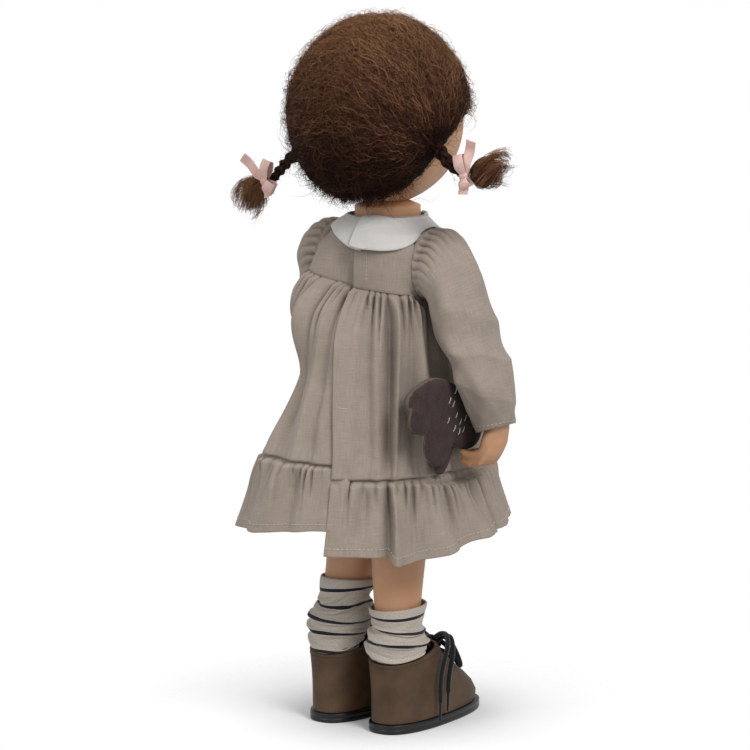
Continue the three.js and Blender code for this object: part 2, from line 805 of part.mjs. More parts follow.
function yoke() {
  const backRadius = yokeStations.at(-1)[2];
  const rows = yokeStations.length - 1;
  const faceAt = (across, down, depth) => {
    const row = Math.round(down * rows);
    const { angle, sink } = wrapAt(across, backRadius, yokeStations[row][0]);
    const slope = smooth(row, 0, 3);
    const point = yokePoint(angle, yokeStations[row][0], -sink * slope - depth * clothThickness * slope);
    point.z -= depth * clothThickness * (1 - slope) + sink * (1 - slope);
    return heldClear(point, depth);
  };
  return solidOf(cloth(faceAt, 32, rows, false)).subtract(armholes(gap));
}

// One half of the collar, from the middle of the back to the middle of the front.
function collar(key) {
  const way = side[key];
  const start = key === 'left' ? 100 : 90;
  const sweep = key === 'left' ? 183 : 173;
  const rise = key === 'left' ? 0 : collarThickness + gap;
  const faceAt = (across, down, depth) => {
    const turned = key === 'left' ? start - across * sweep : start + across * sweep;
    const angle = turned * degree;
    const roundEnd = Math.sqrt(Math.max(0, 1 - smooth(across, 0.86, 1) ** 2));
    const width = collarWidth * (0.25 + 0.75 * roundEnd);
    const slide = down * width;
    const height = yokeStations[0][0] - slide * (0.25 + 0.6 * slide / collarWidth);
    const overBack = rise * smooth(across, 0.24, 0.08);
    const out = collarLift + overBack + (1 - depth) * collarThickness;
    const point = yokePoint(angle, height, out);
    point.z += out * (1 - smooth(down, 0, 1) * 0.6);
    return point;
  };
  const shoulder = { z: shoulderHeight - collarCut.below };
  return solidOf(cloth(faceAt, 14, 3, false))
    .subtract(cylinderAlong('x', collarCut.radius, way * collarCut.out, way * past, shoulder, 20));
}

// Skirt half width in a direction and at a level of the plan, on a smooth closed line.
function planReach(angle, level) {
  const place = ((angle / (2 * Math.PI)) % 1 + 1) % 1 * skirtPlan.length;
  const i = Math.floor(place);
  const at = (n) => skirtPlan[(i + n + skirtPlan.length) % skirtPlan.length][level];
  const t = place - i;
  const slope = (at(1) - at(-1)) / 2;
  const nextSlope = (at(2) - at(0)) / 2;
  return at(0) * (2 * t ** 3 - 3 * t ** 2 + 1) + slope * (t ** 3 - 2 * t ** 2 + t)
    + at(1) * (3 * t ** 2 - 2 * t ** 3) + nextSlope * (t ** 3 - t ** 2);
}

function seamHeight(angle) {
  return stationValue(seamLine, angle / degree, 1);
}

function skirtReach(angle, height) {
  const seam = seamHeight(angle);
  const levels = [
    [skirtTop, planReach(angle, 'top')],
    [skirtLevels.chest, planReach(angle, 'chest')],
    [skirtLevels.waist, planReach(angle, 'waist')],
    [seam, planReach(angle, 'seam')],
  ];
  return stationValue(levels, height, 1);
}

// The folds run out where the two panels lie over each other.
function flatBack(angle) {
  const fromEdge = angle - Math.PI / 2 - edgeLean * degree;
  return 0.1 + 0.9 * smooth(Math.abs(Math.sin(fromEdge / 2)), 0.09, 0.32);
}

function skirt() {
  const rows = [0, 0.1, 0.3, 0.65, 1];
  const faceAt = (across, down, depth) => {
    const share = rows[Math.round(down * (rows.length - 1))];
    const level = THREE.MathUtils.lerp(skirtTop, seamLine[0][1], share);
    const { angle, sink } = wrapAt(across, skirtPlan[2].seam, level);
    const height = THREE.MathUtils.lerp(skirtTop, seamHeight(angle) + seamSpace, share);
    const fold = skirtFoldDepth * smooth(share, 0, 0.2) * flatBack(angle) * Math.cos(skirtFolds * angle);
    const quiet = 1 - 0.8 * smooth(Math.abs(Math.cos(angle)), 0.75, 1);
    const reach = skirtReach(angle, height) + fold * quiet - sink - depth * clothThickness;
    return heldClear(new THREE.Vector3(reach * Math.cos(angle), reach * Math.sin(angle), height), depth);
  };
  return solidOf(cloth(faceAt, 50, rows.length - 1, false)).subtract(armholes(skirtArmholeRoom));
}

function ruffle() {
  const rows = [0, 0.4, 1];
  const faceAt = (across, down, depth) => {
    const { angle, sink } = wrapAt(across, skirtPlan[2].hem, seamLine[0][1]);
    const share = rows[Math.round(down * (rows.length - 1))];
    const hem = stationValue(hemLine, angle / degree, 1);
    const height = THREE.MathUtils.lerp(seamHeight(angle), hem, share);
    const flare = THREE.MathUtils.lerp(planReach(angle, 'seam'), planReach(angle, 'hem'), share);
    const fold = ruffleFoldDepth * (0.35 + 0.65 * share) * Math.cos(ruffleFolds * angle + 0.5);
    const reach = flare + fold * flatBack(angle) * smooth(share, -0.2, 0.5) - sink - depth * clothThickness;
    return heldClear(new THREE.Vector3(reach * Math.cos(angle), reach * Math.sin(angle), height), depth);
  };
  return cloth(faceAt, 76, rows.length - 1, false);
}

// Snap halves between the two layers of the back opening. Each pair meets in the middle of the space.
function snapPlace(height) {
  return stationValue(yokeStations, height, 2) - clothThickness - layerSpace / 2;
}

function snapHalf(height, way) {
  const face = snapSpace + snapThickness;
  const stud = [[0, snapSpace], [snapRadius, snapSpace], [snapRadius, face], [0, face]];
  const socket = [
    [snapBore, -face],
    [snapRadius, -face],
    [snapRadius, -snapSpace],
    [snapBore, -snapSpace],
    [snapBore, -face],
  ];
  const profile = way > 0 ? stud : socket;
  const disc = new THREE.LatheGeometry(profile.map(([x, y]) => new THREE.Vector2(x, y)), 10);
  disc.translate(-snapAside, snapPlace(height), height);
  return disc;
}

// Sleeve and arm, built for the left side and mirrored for the right.

function sleevePoint(around, row, depth) {
  const rows = sleeveStations.length - 1;
  const [x, y, z, tilt, across, deep] = sleeveStations[row];
  const turn = 2 * Math.PI * around;
  const fold = sleeveFoldDepth * smooth(row / rows, 0, 0.25) * Math.cos(5 * turn + 11 * row / rows);
  const thin = depth * clothThickness;
  const up = (across + fold - thin) * Math.cos(turn);
  return new THREE.Vector3(
    x - up * Math.sin(tilt * degree),
    y + (deep + fold - thin) * Math.sin(turn),
    z - up * Math.cos(tilt * degree),
  );
}

// Places on the sleeve's outside: how far out they are and how far from the line through the shoulders.
function sleevePlaces() {
  const places = [];
  for (let row = 0; row < sleeveStations.length - 1; row++) {
    for (let i = 0; i < sleeveColumns; i++) {
      for (const share of [0, 0.25, 0.5, 0.75, 1]) {
        const around = i / sleeveColumns;
        const point = sleevePoint(around, row, 0).lerp(sleevePoint(around, row + 1, 0), share);
        const reach = Math.hypot(point.y, point.z - shoulderHeight);
        if (row + share > 0) places.push({ x: point.x, reach });
      }
    }
  }
  return places;
}

const sleeveSurface = sleevePlaces();

function sleeve(way) {
  const rows = sleeveStations.length - 1;
  const faceAt = (around, down, depth) => {
    const point = sleevePoint(around, Math.round(down * rows), depth);
    point.x *= way;
    return point;
  };
  return cloth(faceAt, sleeveColumns, rows, true);
}

function finger(y, reach, grow = 0) {
  const stations = fingerCurl.map(([out, above, share], i) => {
    const radius = share * fingerRadius;
    return [out, y, above - (i > 0 ? reach : 0), radius, radius];
  });
  return solidOf(limb(fromShoulders(stations), 5, 3, grow));
}

function fingers(grow) {
  const all = [0, 1, 2, 3].map((i) => finger(fingerStart + fingerSpread * i, 0.5 - 0.3 * i, grow));
  return all.reduce((sum, one) => sum.add(one));
}


function arm(way) {
  const shoulder = { y: 0, z: shoulderHeight };
  const joint = ball(shoulderBall, [shoulderFlat + gap + 7, 0, shoulderHeight], 12, 6);
  const withinFlat = boxBetween(
    [-past, -past, shoulderHeight - past], [shoulderFlat + gap, past, shoulderHeight + past],
  );
  let whole = solidOf(joint)
    .add(solidOf(limb(armStations, 8, 7)))
    .subtract(withinFlat)
    .add(solidOf(limb(palmStations, 8, 3)));
  const inFlat = shoulderFlat - vinylWall;
  whole = whole
    .add(cylinderAlong('x', armHole - gap, inFlat - gap - flangeThickness, shoulderFlat + 6, shoulder, 12))
    .add(cylinderAlong('x', armFlange, inFlat - gap - flangeThickness, inFlat - gap, shoulder, 12));
  whole = whole.add(fingers(0)).add(solidOf(limb(thumbStations, 5, 3)));
  const geometry = geometryOf(whole);
  return way > 0 ? geometry : mirrorGeometry(geometry);
}

function mirrorGeometry(geometry) {
  const copy = geometry.clone();
  copy.scale(-1, 1, 1);
  const index = Array.from(copy.index.array);
  for (let i = 0; i < index.length; i += 3) {
    [index[i + 1], index[i + 2]] = [index[i + 2], index[i + 1]];
  }
  copy.setIndex(index);
  copy.computeVertexNormals();
  return copy;
}

// Legs, socks and boots

// Horizontal outline of the boot at a height, as half width, front and back, drawn in by an inset.
function bootOutline(key, height, inset) {
  const { back, out } = stance[key];
  const toe = back - bootLength + stationValue(bootStations, height, 1);
  const half = stationValue(bootStations, height, 2) - inset;
  return { half, front: toe + inset, back: back - inset, middle: out * side[key] };
}

// A squarish oval between a front and a back, as points [x, y].
function footOutline(half, front, back, rounding, count) {
  const points = [];
  for (let i = 0; i < count; i++) {
    const turn = 2 * Math.PI * i / count;
    const across = Math.sign(Math.cos(turn)) * Math.abs(Math.cos(turn)) ** rounding.wide;
    const along = Math.sign(Math.sin(turn)) * Math.abs(Math.sin(turn)) ** rounding.long;
    points.push([across * half, (front + back) / 2 + along * (back - front) / 2]);
  }
  return points;
}

function bootRing(key, height, inset, tilt) {
  const { half, front, back, middle } = bootOutline(key, height, inset);
  return footOutline(half, front, back, bootRounding, 12).map(([x, y]) => {
    const rise = tilt * (back - y) / (back - front);
    return new THREE.Vector3(middle + x, y, height + rise);
  });
}

// Heights of the boot's own stations that lie between two heights.
function bootLevels(low, high) {
  return bootStations.map(([height]) => height).filter((height) => height > low + 1 && height < high - 1);
}

function bootBody(key, inset, bottom, top, tilt = 0) {
  const heights = bootLevels(bottom, top);
  const rings = [bottom, ...heights, top].map((height) => {
    const share = (height - bottom) / (top - bottom);
    return bootRing(key, height, inset, tilt * share ** 3);
  });
  return solidOf(loftRings(rings));
}

function sole(key) {
  const { back, out } = stance[key];
  const outline = footOutline(soleHalf, back - bootLength - soleEdge, back + soleEdge, soleRounding, 18);
  const shape = new THREE.Shape(outline.map(([x, y]) => new THREE.Vector2(x, y)));
  const geometry = new THREE.ExtrudeGeometry(shape, { depth: soleThickness, bevelEnabled: false });
  geometry.translate(out * side[key], 0, 0);
  return geometry;
}

function slitBox(key, half, low, high) {
  const { out } = stance[key];
  const middle = out * side[key];
  const { front, back } = bootOutline(key, bootTopFront, 0);
  return boxBetween([middle - half, front - past, low], [middle + half, (front + back) / 2, high]);
}

function bootUpper(key) {
  const bottom = soleThickness + gap;
  const rise = bootTopFront - bootTopBack;
  const outer = bootBody(key, 0, bottom, bootTopBack, rise);
  const inner = bootBody(key, bootWall, bottom + bootWall, bootTopBack + 6, rise);
  return outer.subtract(inner).subtract(slitBox(key, slitHalf, slitStart, slitStart + past));
}

function tongue(key) {
  const rise = bootTopFront - bootTopBack;
  const body = (inset) => bootBody(key, inset, soleThickness + 8, bootTopBack + 4, rise);
  return largestBody(body(tongueInset)
    .subtract(body(tongueInset + tongueThickness))
    .intersect(slitBox(key, tongueHalf, tongueStart, tongueStart + past)));
}

// Where the leg's middle is at a height: out from the doll's middle, and back.
function legMiddle(key, height) {
  const { out, back, knee } = stance[key];
  const line = [
    [ankleHeight, out, back - heelToAnkle],
    [kneeHeight, ...knee],
    [hipHeight, hipOut, hipBack],
  ];
  return [stationValue(line, height, 1), stationValue(line, height, 2)];
}

function legSolid(key, grow) {
  const way = side[key];
  const stations = legStations.map(([height, wide, deep]) => {
    const [x, y] = legMiddle(key, height);
    return [way * x, y, height, wide, deep];
  });
  const foot = bootBody(key, footInset - grow, soleThickness + bootWall + 2.2 - grow, 25 + grow);
  return solidOf(limb(stations, 10, 6, grow)).add(foot);
}

function leg(key) {
  const way = side[key];
  const hip = { y: hipBack, z: hipHeight };
  const flangeEnd = legSocketStart - vinylWall - gap;
  const flangeStart = flangeEnd - flangeThickness;
  const slab = (from, to, low, high) => {
    const ends = [way * from, way * to].sort((a, b) => a - b);
    return boxBetween([ends[0], -past, low], [ends[1], past, high]);
  };
  const disc = cylinderAlong('x', thighRadius, way * thighStart, way * thighFlat, hip, hipSides);
  const round = [thighCap, thighRadius, thighRadius];
  const cap = ellipsoid(round, [way * thighFlat, hipBack, hipHeight], hipSides, 6)
    .intersect(slab(thighFlat - 0.1, thighFlat + past, hipHeight - past, hipHeight + past));
  const neck = cylinderAlong('x', legHole - gap, way * flangeStart, way * (thighStart + 4), hip, 12);
  const flange = cylinderAlong('x', legFlange, way * flangeStart, way * flangeEnd, hip, 12);
  return legSolid(key, 0)
    .subtract(slab(0, thighStart, -past, hipHeight - hipBack))
    .add(disc)
    .add(cap)
    .add(neck)
    .add(flange);
}

// The sock's ankle part: a tube with slouch folds from the boot to its top edge.
function sockTube(key) {
  const way = side[key];
  const top = sockTop[key];
  const bottom = sockTubeStart;
  const steps = sockFolds * 3 + 1;
  const rings = [];
  for (let step = 0; step <= steps; step++) {
    const height = THREE.MathUtils.lerp(bottom, top, step / steps);
    const aboveBoot = smooth(height, bootTopBack, bootTopBack + 6);
    const bulge = sockSlouch * aboveBoot * (1 - smooth(height, top - 22, top));
    const wave = Math.cos(2 * Math.PI * sockFolds * step / steps);
    const fold = sockFoldDepth * wave * smooth(height, bottom + 5, bottom + 14);
    const radius = sockRadius + bulge + fold + 1.6 * smooth(height, 40, top);
    const ring = [];
    const count = 11;
    for (let i = 0; i < count; i++) {
      const turn = 2 * Math.PI * i / count;
      const sway = 1.2 * Math.cos(turn + height * 0.25) * smooth(height, bottom + 8, bottom + 20);
      const [x, y] = legMiddle(key, height);
      ring.push(new THREE.Vector3(
        way * x + radius * Math.cos(turn),
        y + (radius + 0.8) * Math.sin(turn),
        height + sway,
      ));
    }
    rings.push(ring);
  }
  return solidOf(loftRings(rings));
}

function sock(key) {
  const rise = bootTopFront - bootTopBack;
  const sheath = bootBody(key, sockInset, soleThickness + bootWall + gap + 0.6, bootTopBack - 4, 0);
  const shoe = bootBody(key, -gap, soleThickness, bootTopBack + gap, rise)
    .subtract(bootBody(key, sockInset, soleThickness, bootTopBack + 6, rise));
  const opening = legSolid(key, gap);
  return sheath.add(sockTube(key)).subtract(shoe).subtract(opening);
}

// A lace along a line of points.
function laceRun(points, sides, steps) {
  const section = new THREE.Shape();
  for (let i = 0; i < sides; i++) {
    const turn = 2 * Math.PI * (i + 0.5) / sides;
    if (i === 0) section.moveTo(laceRadius * Math.cos(turn), laceRadius * Math.sin(turn));
    else section.lineTo(laceRadius * Math.cos(turn), laceRadius * Math.sin(turn));
  }
  section.closePath();
  const curve = new THREE.CatmullRomCurve3(points.map(vector));
  return new THREE.ExtrudeGeometry(section, { steps, bevelEnabled: false, extrudePath: curve });
}

// The line up the middle of the boot's front: height and place from front to back.
function frontLine(key) {
  const bottom = soleThickness + gap;
  return [bootStations[0][0], ...bootLevels(bootStations[0][0], bootTopBack), bootTopBack].map((height) => {
    const lift = (bootTopFront - bootTopBack) * ((height - bottom) / (bootTopBack - bottom)) ** 3;
    return [height + lift, bootOutline(key, height, 0).front];
  });
}

// The bow's knot, in front of the boot's top edge.
function knotPlace(key) {
  const { middle } = bootOutline(key, knotHeight, 0);
  return [middle, stationValue(frontLine(key), knotHeight, 1) - 3.2, knotHeight];
}

// Points given as out from the knot, forward of it and above it.
function fromKnot(key, points) {
  const [x, y, z] = knotPlace(key);
  return points.map(([out, forward, up]) => [x + side[key] * out, y - forward, z + up]);
}

// A place over the boot's sloping front, lifted off the leather by the lace's radius and the gap.
function overFront(key, height, out) {
  const { middle } = bootOutline(key, height, 0);
  const line = frontLine(key);
  const frontAt = (level) => stationValue(line, level, 1);
  const slope = (frontAt(height + 1) - frontAt(height - 1)) / 2;
  const lift = (laceRadius * 1.2 + gap) / Math.hypot(1, slope);
  const round = 1.2 * (out / laceHalfRow) ** 2;
  return [middle + out, frontAt(height) + round - lift, height + slope * lift];
}

// The bow's loops, as places out from the knot, forward of it and above it
const laceLoops = {
  outer: [
    [1, 1.4, 0], [7, 4.2, 1.4], [13, 3, -1.6], [15.2, 0.6, -7],
    [12.6, 1, -9.3], [9.5, 5, -5.5], [4, 4.6, -1.6], [1, 2.4, -0.6],
  ],
  inner: [[-1, 1, 0.4], [-7, 2, 2.4], [-11.6, 1, -0.6], [-11.6, 1.8, -4], [-7, 4, -2.6], [-1, 2, -0.6]],
};

// Rows across the tongue and the line that joins them, with the bow's knot and two loops.
function lace(key) {
  const spacing = (knotHeight - lowestLace - 3) / (laceRows - 1);
  let whole = ellipsoid([2.6, 2.2, 2.2], knotPlace(key), 6, 4);
  const spine = [];
  for (let row = 0; row < laceRows; row++) {
    const height = lowestLace + row * spacing;
    const line = [-laceHalfRow, 0, laceHalfRow].map((out) => overFront(key, height, out));
    spine.push(overFront(key, height, 0));
    whole = whole.add(solidOf(laceRun(line, 5, 3)));
  }
  spine.push(knotPlace(key));
  whole = whole.add(solidOf(laceRun(spine, 5, 5)));
  for (const points of Object.values(laceLoops)) {
    whole = whole.add(solidOf(laceRun(fromKnot(key, points), 5, 7)));
  }
  return whole;
}

// The free ends of the lace pass over the outer edge of the boot and hang beside it.
const laceEndRoutes = {
  back: [
    [3.3, -0.7, 1.6], [6.5, -1.2, 3.6], [10, -2.2, 4.2], [13.2, -5, 3.2], [15.8, -8.6, 0.6],
    [17.4, -12.4, -3], [18, -15.4, -7], [18, -17, -12], [17.8, -17.4, -18], [17.7, -17.4, -24.4],
  ],
  front: [
    [3.6, 0.6, -0.4], [6, 1.2, 1.4], [9.6, 0.8, 2.5], [13, -1.4, 2], [16, -4.4, -1.6], [17.8, -7.6, -5.6],
    [18.4, -10, -10], [18.3, -11.2, -15], [18.2, -11.4, -20.8],
  ],
};

function laceEnd(key, which) {
  const route = laceEndRoutes[which];
  return laceRun(fromKnot(key, route), 8, route.length - 1);
}

function aglet(key, which) {
  const points = fromKnot(key, laceEndRoutes[which]).map(vector);
  const end = points.at(-1);
  const along = end.clone().sub(points.at(-2)).normalize();
  const geometry = new THREE.CylinderGeometry(laceRadius, laceRadius * 0.9, agletLength, 8);
  geometry.applyQuaternion(new THREE.Quaternion().setFromUnitVectors(new THREE.Vector3(0, -1, 0), along));
  const centre = end.clone().addScaledVector(along, gap + agletLength / 2);
  geometry.translate(centre.x, centre.y, centre.z);
  return geometry;
}

// Toy fawn. Its stations are given along the doll from back to front: y, height above the toy's own
// height, half thickness, half height.

function toyPart(stations, sides, steps, grow = 0, offset = 0) {
  const lines = stations.map(([y, above, ...size]) => [toyMiddle + offset, y, toyHeight + above, ...size]);
  return solidOf(limb(lines, sides, steps, grow, [0, 0, 1]));
}

const toyBodyLine = [
  [44, 0, 1.2, 4],
  [39, 1.5, 3.5, 9.5],
  [31, 3, toyHalfThickness, 12.5],
  [21, 2.5, toyHalfThickness, 13.5],
  [11, -3, toyHalfThickness, 12],
  [2, -10, toyHalfThickness, 12.8],
  [-8, -13.2, 4, 12.2],
  [-14, -12, 2, 5],
];
const toyHeadLine = [
  [-11, -6, 2, 4],
  [-18, -2, toyHalfThickness, 6.6],
  [-26, -1, toyHalfThickness, 7],
  [-34, -4, 3, 4.6],
  [-38, -5, 1.2, 2.2],
];

// The toy's body rests on the fingers.
function toyBody(grow = 0) {
  const hand = fingers(gap - grow).scale([-1, 1, 1]);
  return largestBody(toyPart(toyBodyLine, 10, 8, grow).subtract(hand));
}

function toyHead(grow = 0) {
  return toyPart(toyHeadLine, 10, 7, grow);
}

// A felt leg: where it leaves the body, where its foot is, half its width and its place across.
const toyLegs = {
  hind_outer: { top: [35, -2], foot: [39.5, -11], width: 7.4, offset: -2.4 },
  hind_inner: { top: [32, -4], foot: [34.5, -13], width: 4.6, offset: 2.4 },
  front_outer: { top: [15, -8], foot: [27.5, -21.5], width: 11, offset: -2.4 },
  front_inner: { top: [8, -13], foot: [18.5, -24], width: 7, offset: 2.4 },
};
const toyLegThickness = 2;

function toyLeg({ top, foot, width, offset }) {
  const between = (share) => {
    const [y, above] = [0, 1].map((i) => THREE.MathUtils.lerp(top[i], foot[i], share));
    return [y, toyHeight + above];
  };
  const x = toyMiddle + offset;
  const line = [
    [x, ...between(0), toyLegThickness, width],
    [x, ...between(0.55), toyLegThickness, width],
    [x, ...between(0.92), toyLegThickness * 0.8, width * 0.8],
    [x, ...between(1.15), toyLegThickness * 0.3, width * 0.3],
  ];
  return solidOf(limb(line, 8, 5, 0, [0, 1, 0]));
}

function toyEar(way) {
  return toyPart([
    [-17.5, 4, 0.9, 1.4],
    [-14.5, 7.5, 1.2, 2.6],
    [-11.5, 11, 0.4, 0.8],
  ], 6, 4, 0, way * 2.6);
}

function addToy(parent) {
  const body = toyBody(gap);
  addPiece('toy_body', geometryOf(toyBody()), felt, parent);
  addPiece('toy_head', geometryOf(toyHead().subtract(body)), felt, parent);
  for (const [name, line] of Object.entries(toyLegs)) {
    addPiece(`toy_leg_${name}`, geometryOf(toyLeg(line).subtract(body)), felt, parent);
  }
  const headRoom = toyHead(gap);
  for (const [name, way] of [['outer', -1], ['inner', 1]]) {
    addPiece(`toy_ear_${name}`, geometryOf(toyEar(way).subtract(headRoom).subtract(body)), felt, parent);
  }
}

// Turned about the line through both shoulders, so that the left arm reaches forward.
function armGroup(forward) {
  const group = new THREE.Group();
  const turn = -forward * degree;
  group.rotation.x = turn;
  group.position.set(0, shoulderHeight * Math.sin(turn), shoulderHeight * (1 - Math.cos(turn)));
  return group;
}

const leftArm = armGroup(leftArmForward);
const rightArm = armGroup(0);
doll.add(leftArm, rightArm);

addPiece('torso', geometryOf(torso()), vinyl);
addPiece('head', geometryOf(head()), vinyl);
addPiece('wig', geometryOf(wig()), hair);
eyeCentres().forEach((centre, i) => {
  addPiece(i === 0 ? 'eye_left' : 'eye_right', ball(eyeRadius, centre), eyeGloss);
});
for (const key of ['left', 'right']) {
  addPiece(`braid_${key}`, geometryOf(braidSolid(key)), hair);
  addPiece(`elastic_${key}`, elastic(key), clearPlastic);
  addPiece(`tuft_${key}`, tuft(key), hair);
  addPiece(`bow_${key}`, bow(key), satin);
  addPiece(`collar_${key}`, geometryOf(collar(key)), cotton);
}
addPiece('yoke', geometryOf(yoke()), linen);
addPiece('skirt', geometryOf(skirt()), linen);
addPiece('ruffle', ruffle(), linen);
snapHeights.forEach((height, i) => {
  addPiece(`snap_stud_${i + 1}`, snapHalf(height, 1), snapMetal);
  addPiece(`snap_socket_${i + 1}`, snapHalf(height, -1), snapMetal);
});
for (const [key, group] of [['left', leftArm], ['right', rightArm]]) {
  addPiece(`arm_${key}`, arm(side[key]), vinyl, group);
  addPiece(`sleeve_${key}`, sleeve(side[key]), linen, group);
}
for (const key of ['left', 'right']) {
  addPiece(`leg_${key}`, geometryOf(leg(key)), vinyl);
  addPiece(`sock_${key}`, geometryOf(sock(key)), knit);
  addPiece(`boot_${key}`, geometryOf(bootUpper(key)), leather);
  addPiece(`tongue_${key}`, geometryOf(tongue(key)), leather);
  addPiece(`sole_${key}`, sole(key), soleRubber);
  addPiece(`lace_${key}`, geometryOf(lace(key)), cord);
  for (const which of Object.keys(laceEndRoutes)) {
    addPiece(`lace_end_${key}_${which}`, laceEnd(key, which), cord);
    addPiece(`aglet_${key}_${which}`, aglet(key, which), cord);
  }
}
addToy(rightArm);

// The middle of the whole doll's box stands over the origin, with the soles on the floor.
doll.updateMatrixWorld(true);
const extent = new THREE.Box3();
doll.traverse((piece) => {
  const isLaceEnd = piece.name.startsWith('lace_end') || piece.name.startsWith('aglet');
  if (piece.isMesh && !isLaceEnd) extent.expandByObject(piece, true);
});
const middle = extent.getCenter(new THREE.Vector3());
doll.position.set(-middle.x, -middle.y, -extent.min.z);

export default doll;
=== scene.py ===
# A dressed play doll seen from behind: a curly mohair wig with two ribboned braids, a gathered linen
# dress with a white collar, striped socks, laced ankle boots and a felt fawn under the right arm.
# Forms are written in millimetres around the doll's own upright line; the doll faces -Y and its
# right hand is at -X.
import json
import math

import bpy
import numpy as np
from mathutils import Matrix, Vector

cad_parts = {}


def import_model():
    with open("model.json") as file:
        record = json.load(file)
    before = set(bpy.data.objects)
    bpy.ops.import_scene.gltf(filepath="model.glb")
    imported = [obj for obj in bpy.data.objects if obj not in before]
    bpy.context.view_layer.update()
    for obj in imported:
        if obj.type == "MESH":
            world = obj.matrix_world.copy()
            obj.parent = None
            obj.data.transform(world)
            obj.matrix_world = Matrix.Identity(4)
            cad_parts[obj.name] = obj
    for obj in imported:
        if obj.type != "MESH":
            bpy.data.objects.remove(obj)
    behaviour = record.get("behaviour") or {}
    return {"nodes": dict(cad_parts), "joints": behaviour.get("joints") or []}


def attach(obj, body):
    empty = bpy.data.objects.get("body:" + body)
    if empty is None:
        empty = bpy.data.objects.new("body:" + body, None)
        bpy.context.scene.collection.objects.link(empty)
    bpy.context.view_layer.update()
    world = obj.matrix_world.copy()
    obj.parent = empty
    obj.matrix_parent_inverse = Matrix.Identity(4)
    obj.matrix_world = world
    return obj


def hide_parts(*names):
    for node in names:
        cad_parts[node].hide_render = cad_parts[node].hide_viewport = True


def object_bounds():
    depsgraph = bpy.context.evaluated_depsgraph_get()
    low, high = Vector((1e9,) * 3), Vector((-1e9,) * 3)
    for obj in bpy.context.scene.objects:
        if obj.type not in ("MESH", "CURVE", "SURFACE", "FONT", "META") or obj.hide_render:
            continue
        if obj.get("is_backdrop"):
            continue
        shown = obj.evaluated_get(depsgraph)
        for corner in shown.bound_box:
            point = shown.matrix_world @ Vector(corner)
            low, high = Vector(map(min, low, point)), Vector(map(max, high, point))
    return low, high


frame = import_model()
box_of_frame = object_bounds()

# Camera: where it stands, how it is turned and its lens
CAMERA_PLACE = (-843.2, 1204.2, 390)
CAMERA_TILT = 8.6
CAMERA_TURN = 215.18
CAMERA_LENS = 149.8

# Lights: place, the point each is aimed at, size in metres and power in watts
LIGHTS = [
    ("key", (-1.7, 0.6, 1.6), (0, 0, 0.17), 0.9, 29),
    ("fill", (0.5, 1.9, 1.2), (0, 0, 0.17), 1.2, 10),
    ("top", (0.1, 0.3, 2.0), (0, 0, 0.15), 1.2, 12),
]

# The floor thins out into the white backdrop between these distances, in metres.
FLOOR_FADE = (0.045, 0.14)

# Joint heights and the left arm's reach forward, in degrees
SHOULDER = 222
LEFT_ARM_FORWARD = 65
SIDES = {"left": 1, "right": -1}

# Head and hair
HEAD_MIDDLE = np.array([0, -1, 288])
HEAD_HALF = np.array([36.5, 36.5, 38.5])
HEAD_BOTTOM = 251.4
JAW_TAPER = 0.14
EYES = {"left": (13, -27.5, 279), "right": (-13, -27.5, 279)}
EYE_RADIUS = 7
EYE_OPENING = (5.6, 3.7)
# Forms raised on the face: place across, height, size and how far they stand out; those away from the
# middle are on both sides. They are the nose, its bridge, the cheeks, the chin, the mouth, the upper lip
# with its sides, the lower lip and the line between the lips with its corners.
FACE_FORMS = [
    (0, 272, 2.6, 4.6), (0, 275.5, 2.2, 1.6), (17, 266, 8, 1.8), (0, 254.5, 6, 1.6),
    (0, 262.5, 4, 1.0), (0, 264.2, 1.5, 0.9), (2.6, 264, 1.5, 0.5), (0, 260.4, 2.2, 1.1),
    (0, 262.6, 1.1, -0.7), (3, 262.5, 1.0, -0.4),
]
HAIR_MIDDLE = np.array([0, 4.5, 293])
HAIR_HALF = np.array([41.8, 41.8, 44.8])
FACE_WINDOW = {"height": 270, "half_width": 42, "half_height": 30, "back": -7}
# Where the wig ends at the cheeks: height and place from front to back
HAIRLINE = [(236, 17), (262, 15.5), (271, 12), (283, 4), (292, -7)]
# Lower edge of the wig: its height at a place towards the back, and its rise per step forward
NAPE = {"back": 27, "height": 252, "slope": 0.66}
# How many hairs: in each of the wig's three layers, over them, standing off, along the nape, lying on each
# strand of a braid, standing off it, and in a tuft
HAIRS = {
    "layer": 4200, "frizz": 5200, "flyaway": 5600, "nape": 1500, "strand": 90, "loose": 260, "tuft": 900,
}
BRAID_SEED = {"left": 31, "right": 37}
TUFT_SEED = {"left": 41, "right": 43}
BRAIDS = {
    "left": {
        "root": (37, 13, 277),
        "bend": (47, 14, 268),
        "knot": (57, 12.5, 259),
        "tuft_bend": (66, 12, 254),
        "tuft_end": (75, 11, 247),
    },
    "right": {
        "root": (-37, 13, 280),
        "bend": (-47, 14, 271),
        "knot": (-56.5, 12.5, 266.5),
        "tuft_bend": (-64, 12, 268),
        "tuft_end": (-74, 11, 272),
    },
}
# Radius of the hair where it is tied, and of the opened tuft
TIED_HAIR = 1.7
TUFT_RADIUS = 8.5
# Width of the elastic and of the ribbon, and radius of the bow's knot
ELASTIC = 1.6
RIBBON_WIDTH = 5
BOW_KNOT = 1.7
# The knot along the tied hair: place, radius
BOW_KNOT_RINGS = [(-2.2, 0.6), (-1.8, 1.5), (0, BOW_KNOT), (1.8, 1.5), (2.2, 0.6)]
# Lines of a loop and of a tail: share of the ribbon's reach, height over the knot's middle
BOW_LOOP = [(0.02, 0), (0.55, 2.4), (1, 1.7), (1.02, 0.2), (0.9, -0.8), (0.5, -0.9), (0.02, -0.3)]
BOW_TAIL = [(0, 0), (0.35, 1.4), (0.7, 0.5), (1, 1.6)]
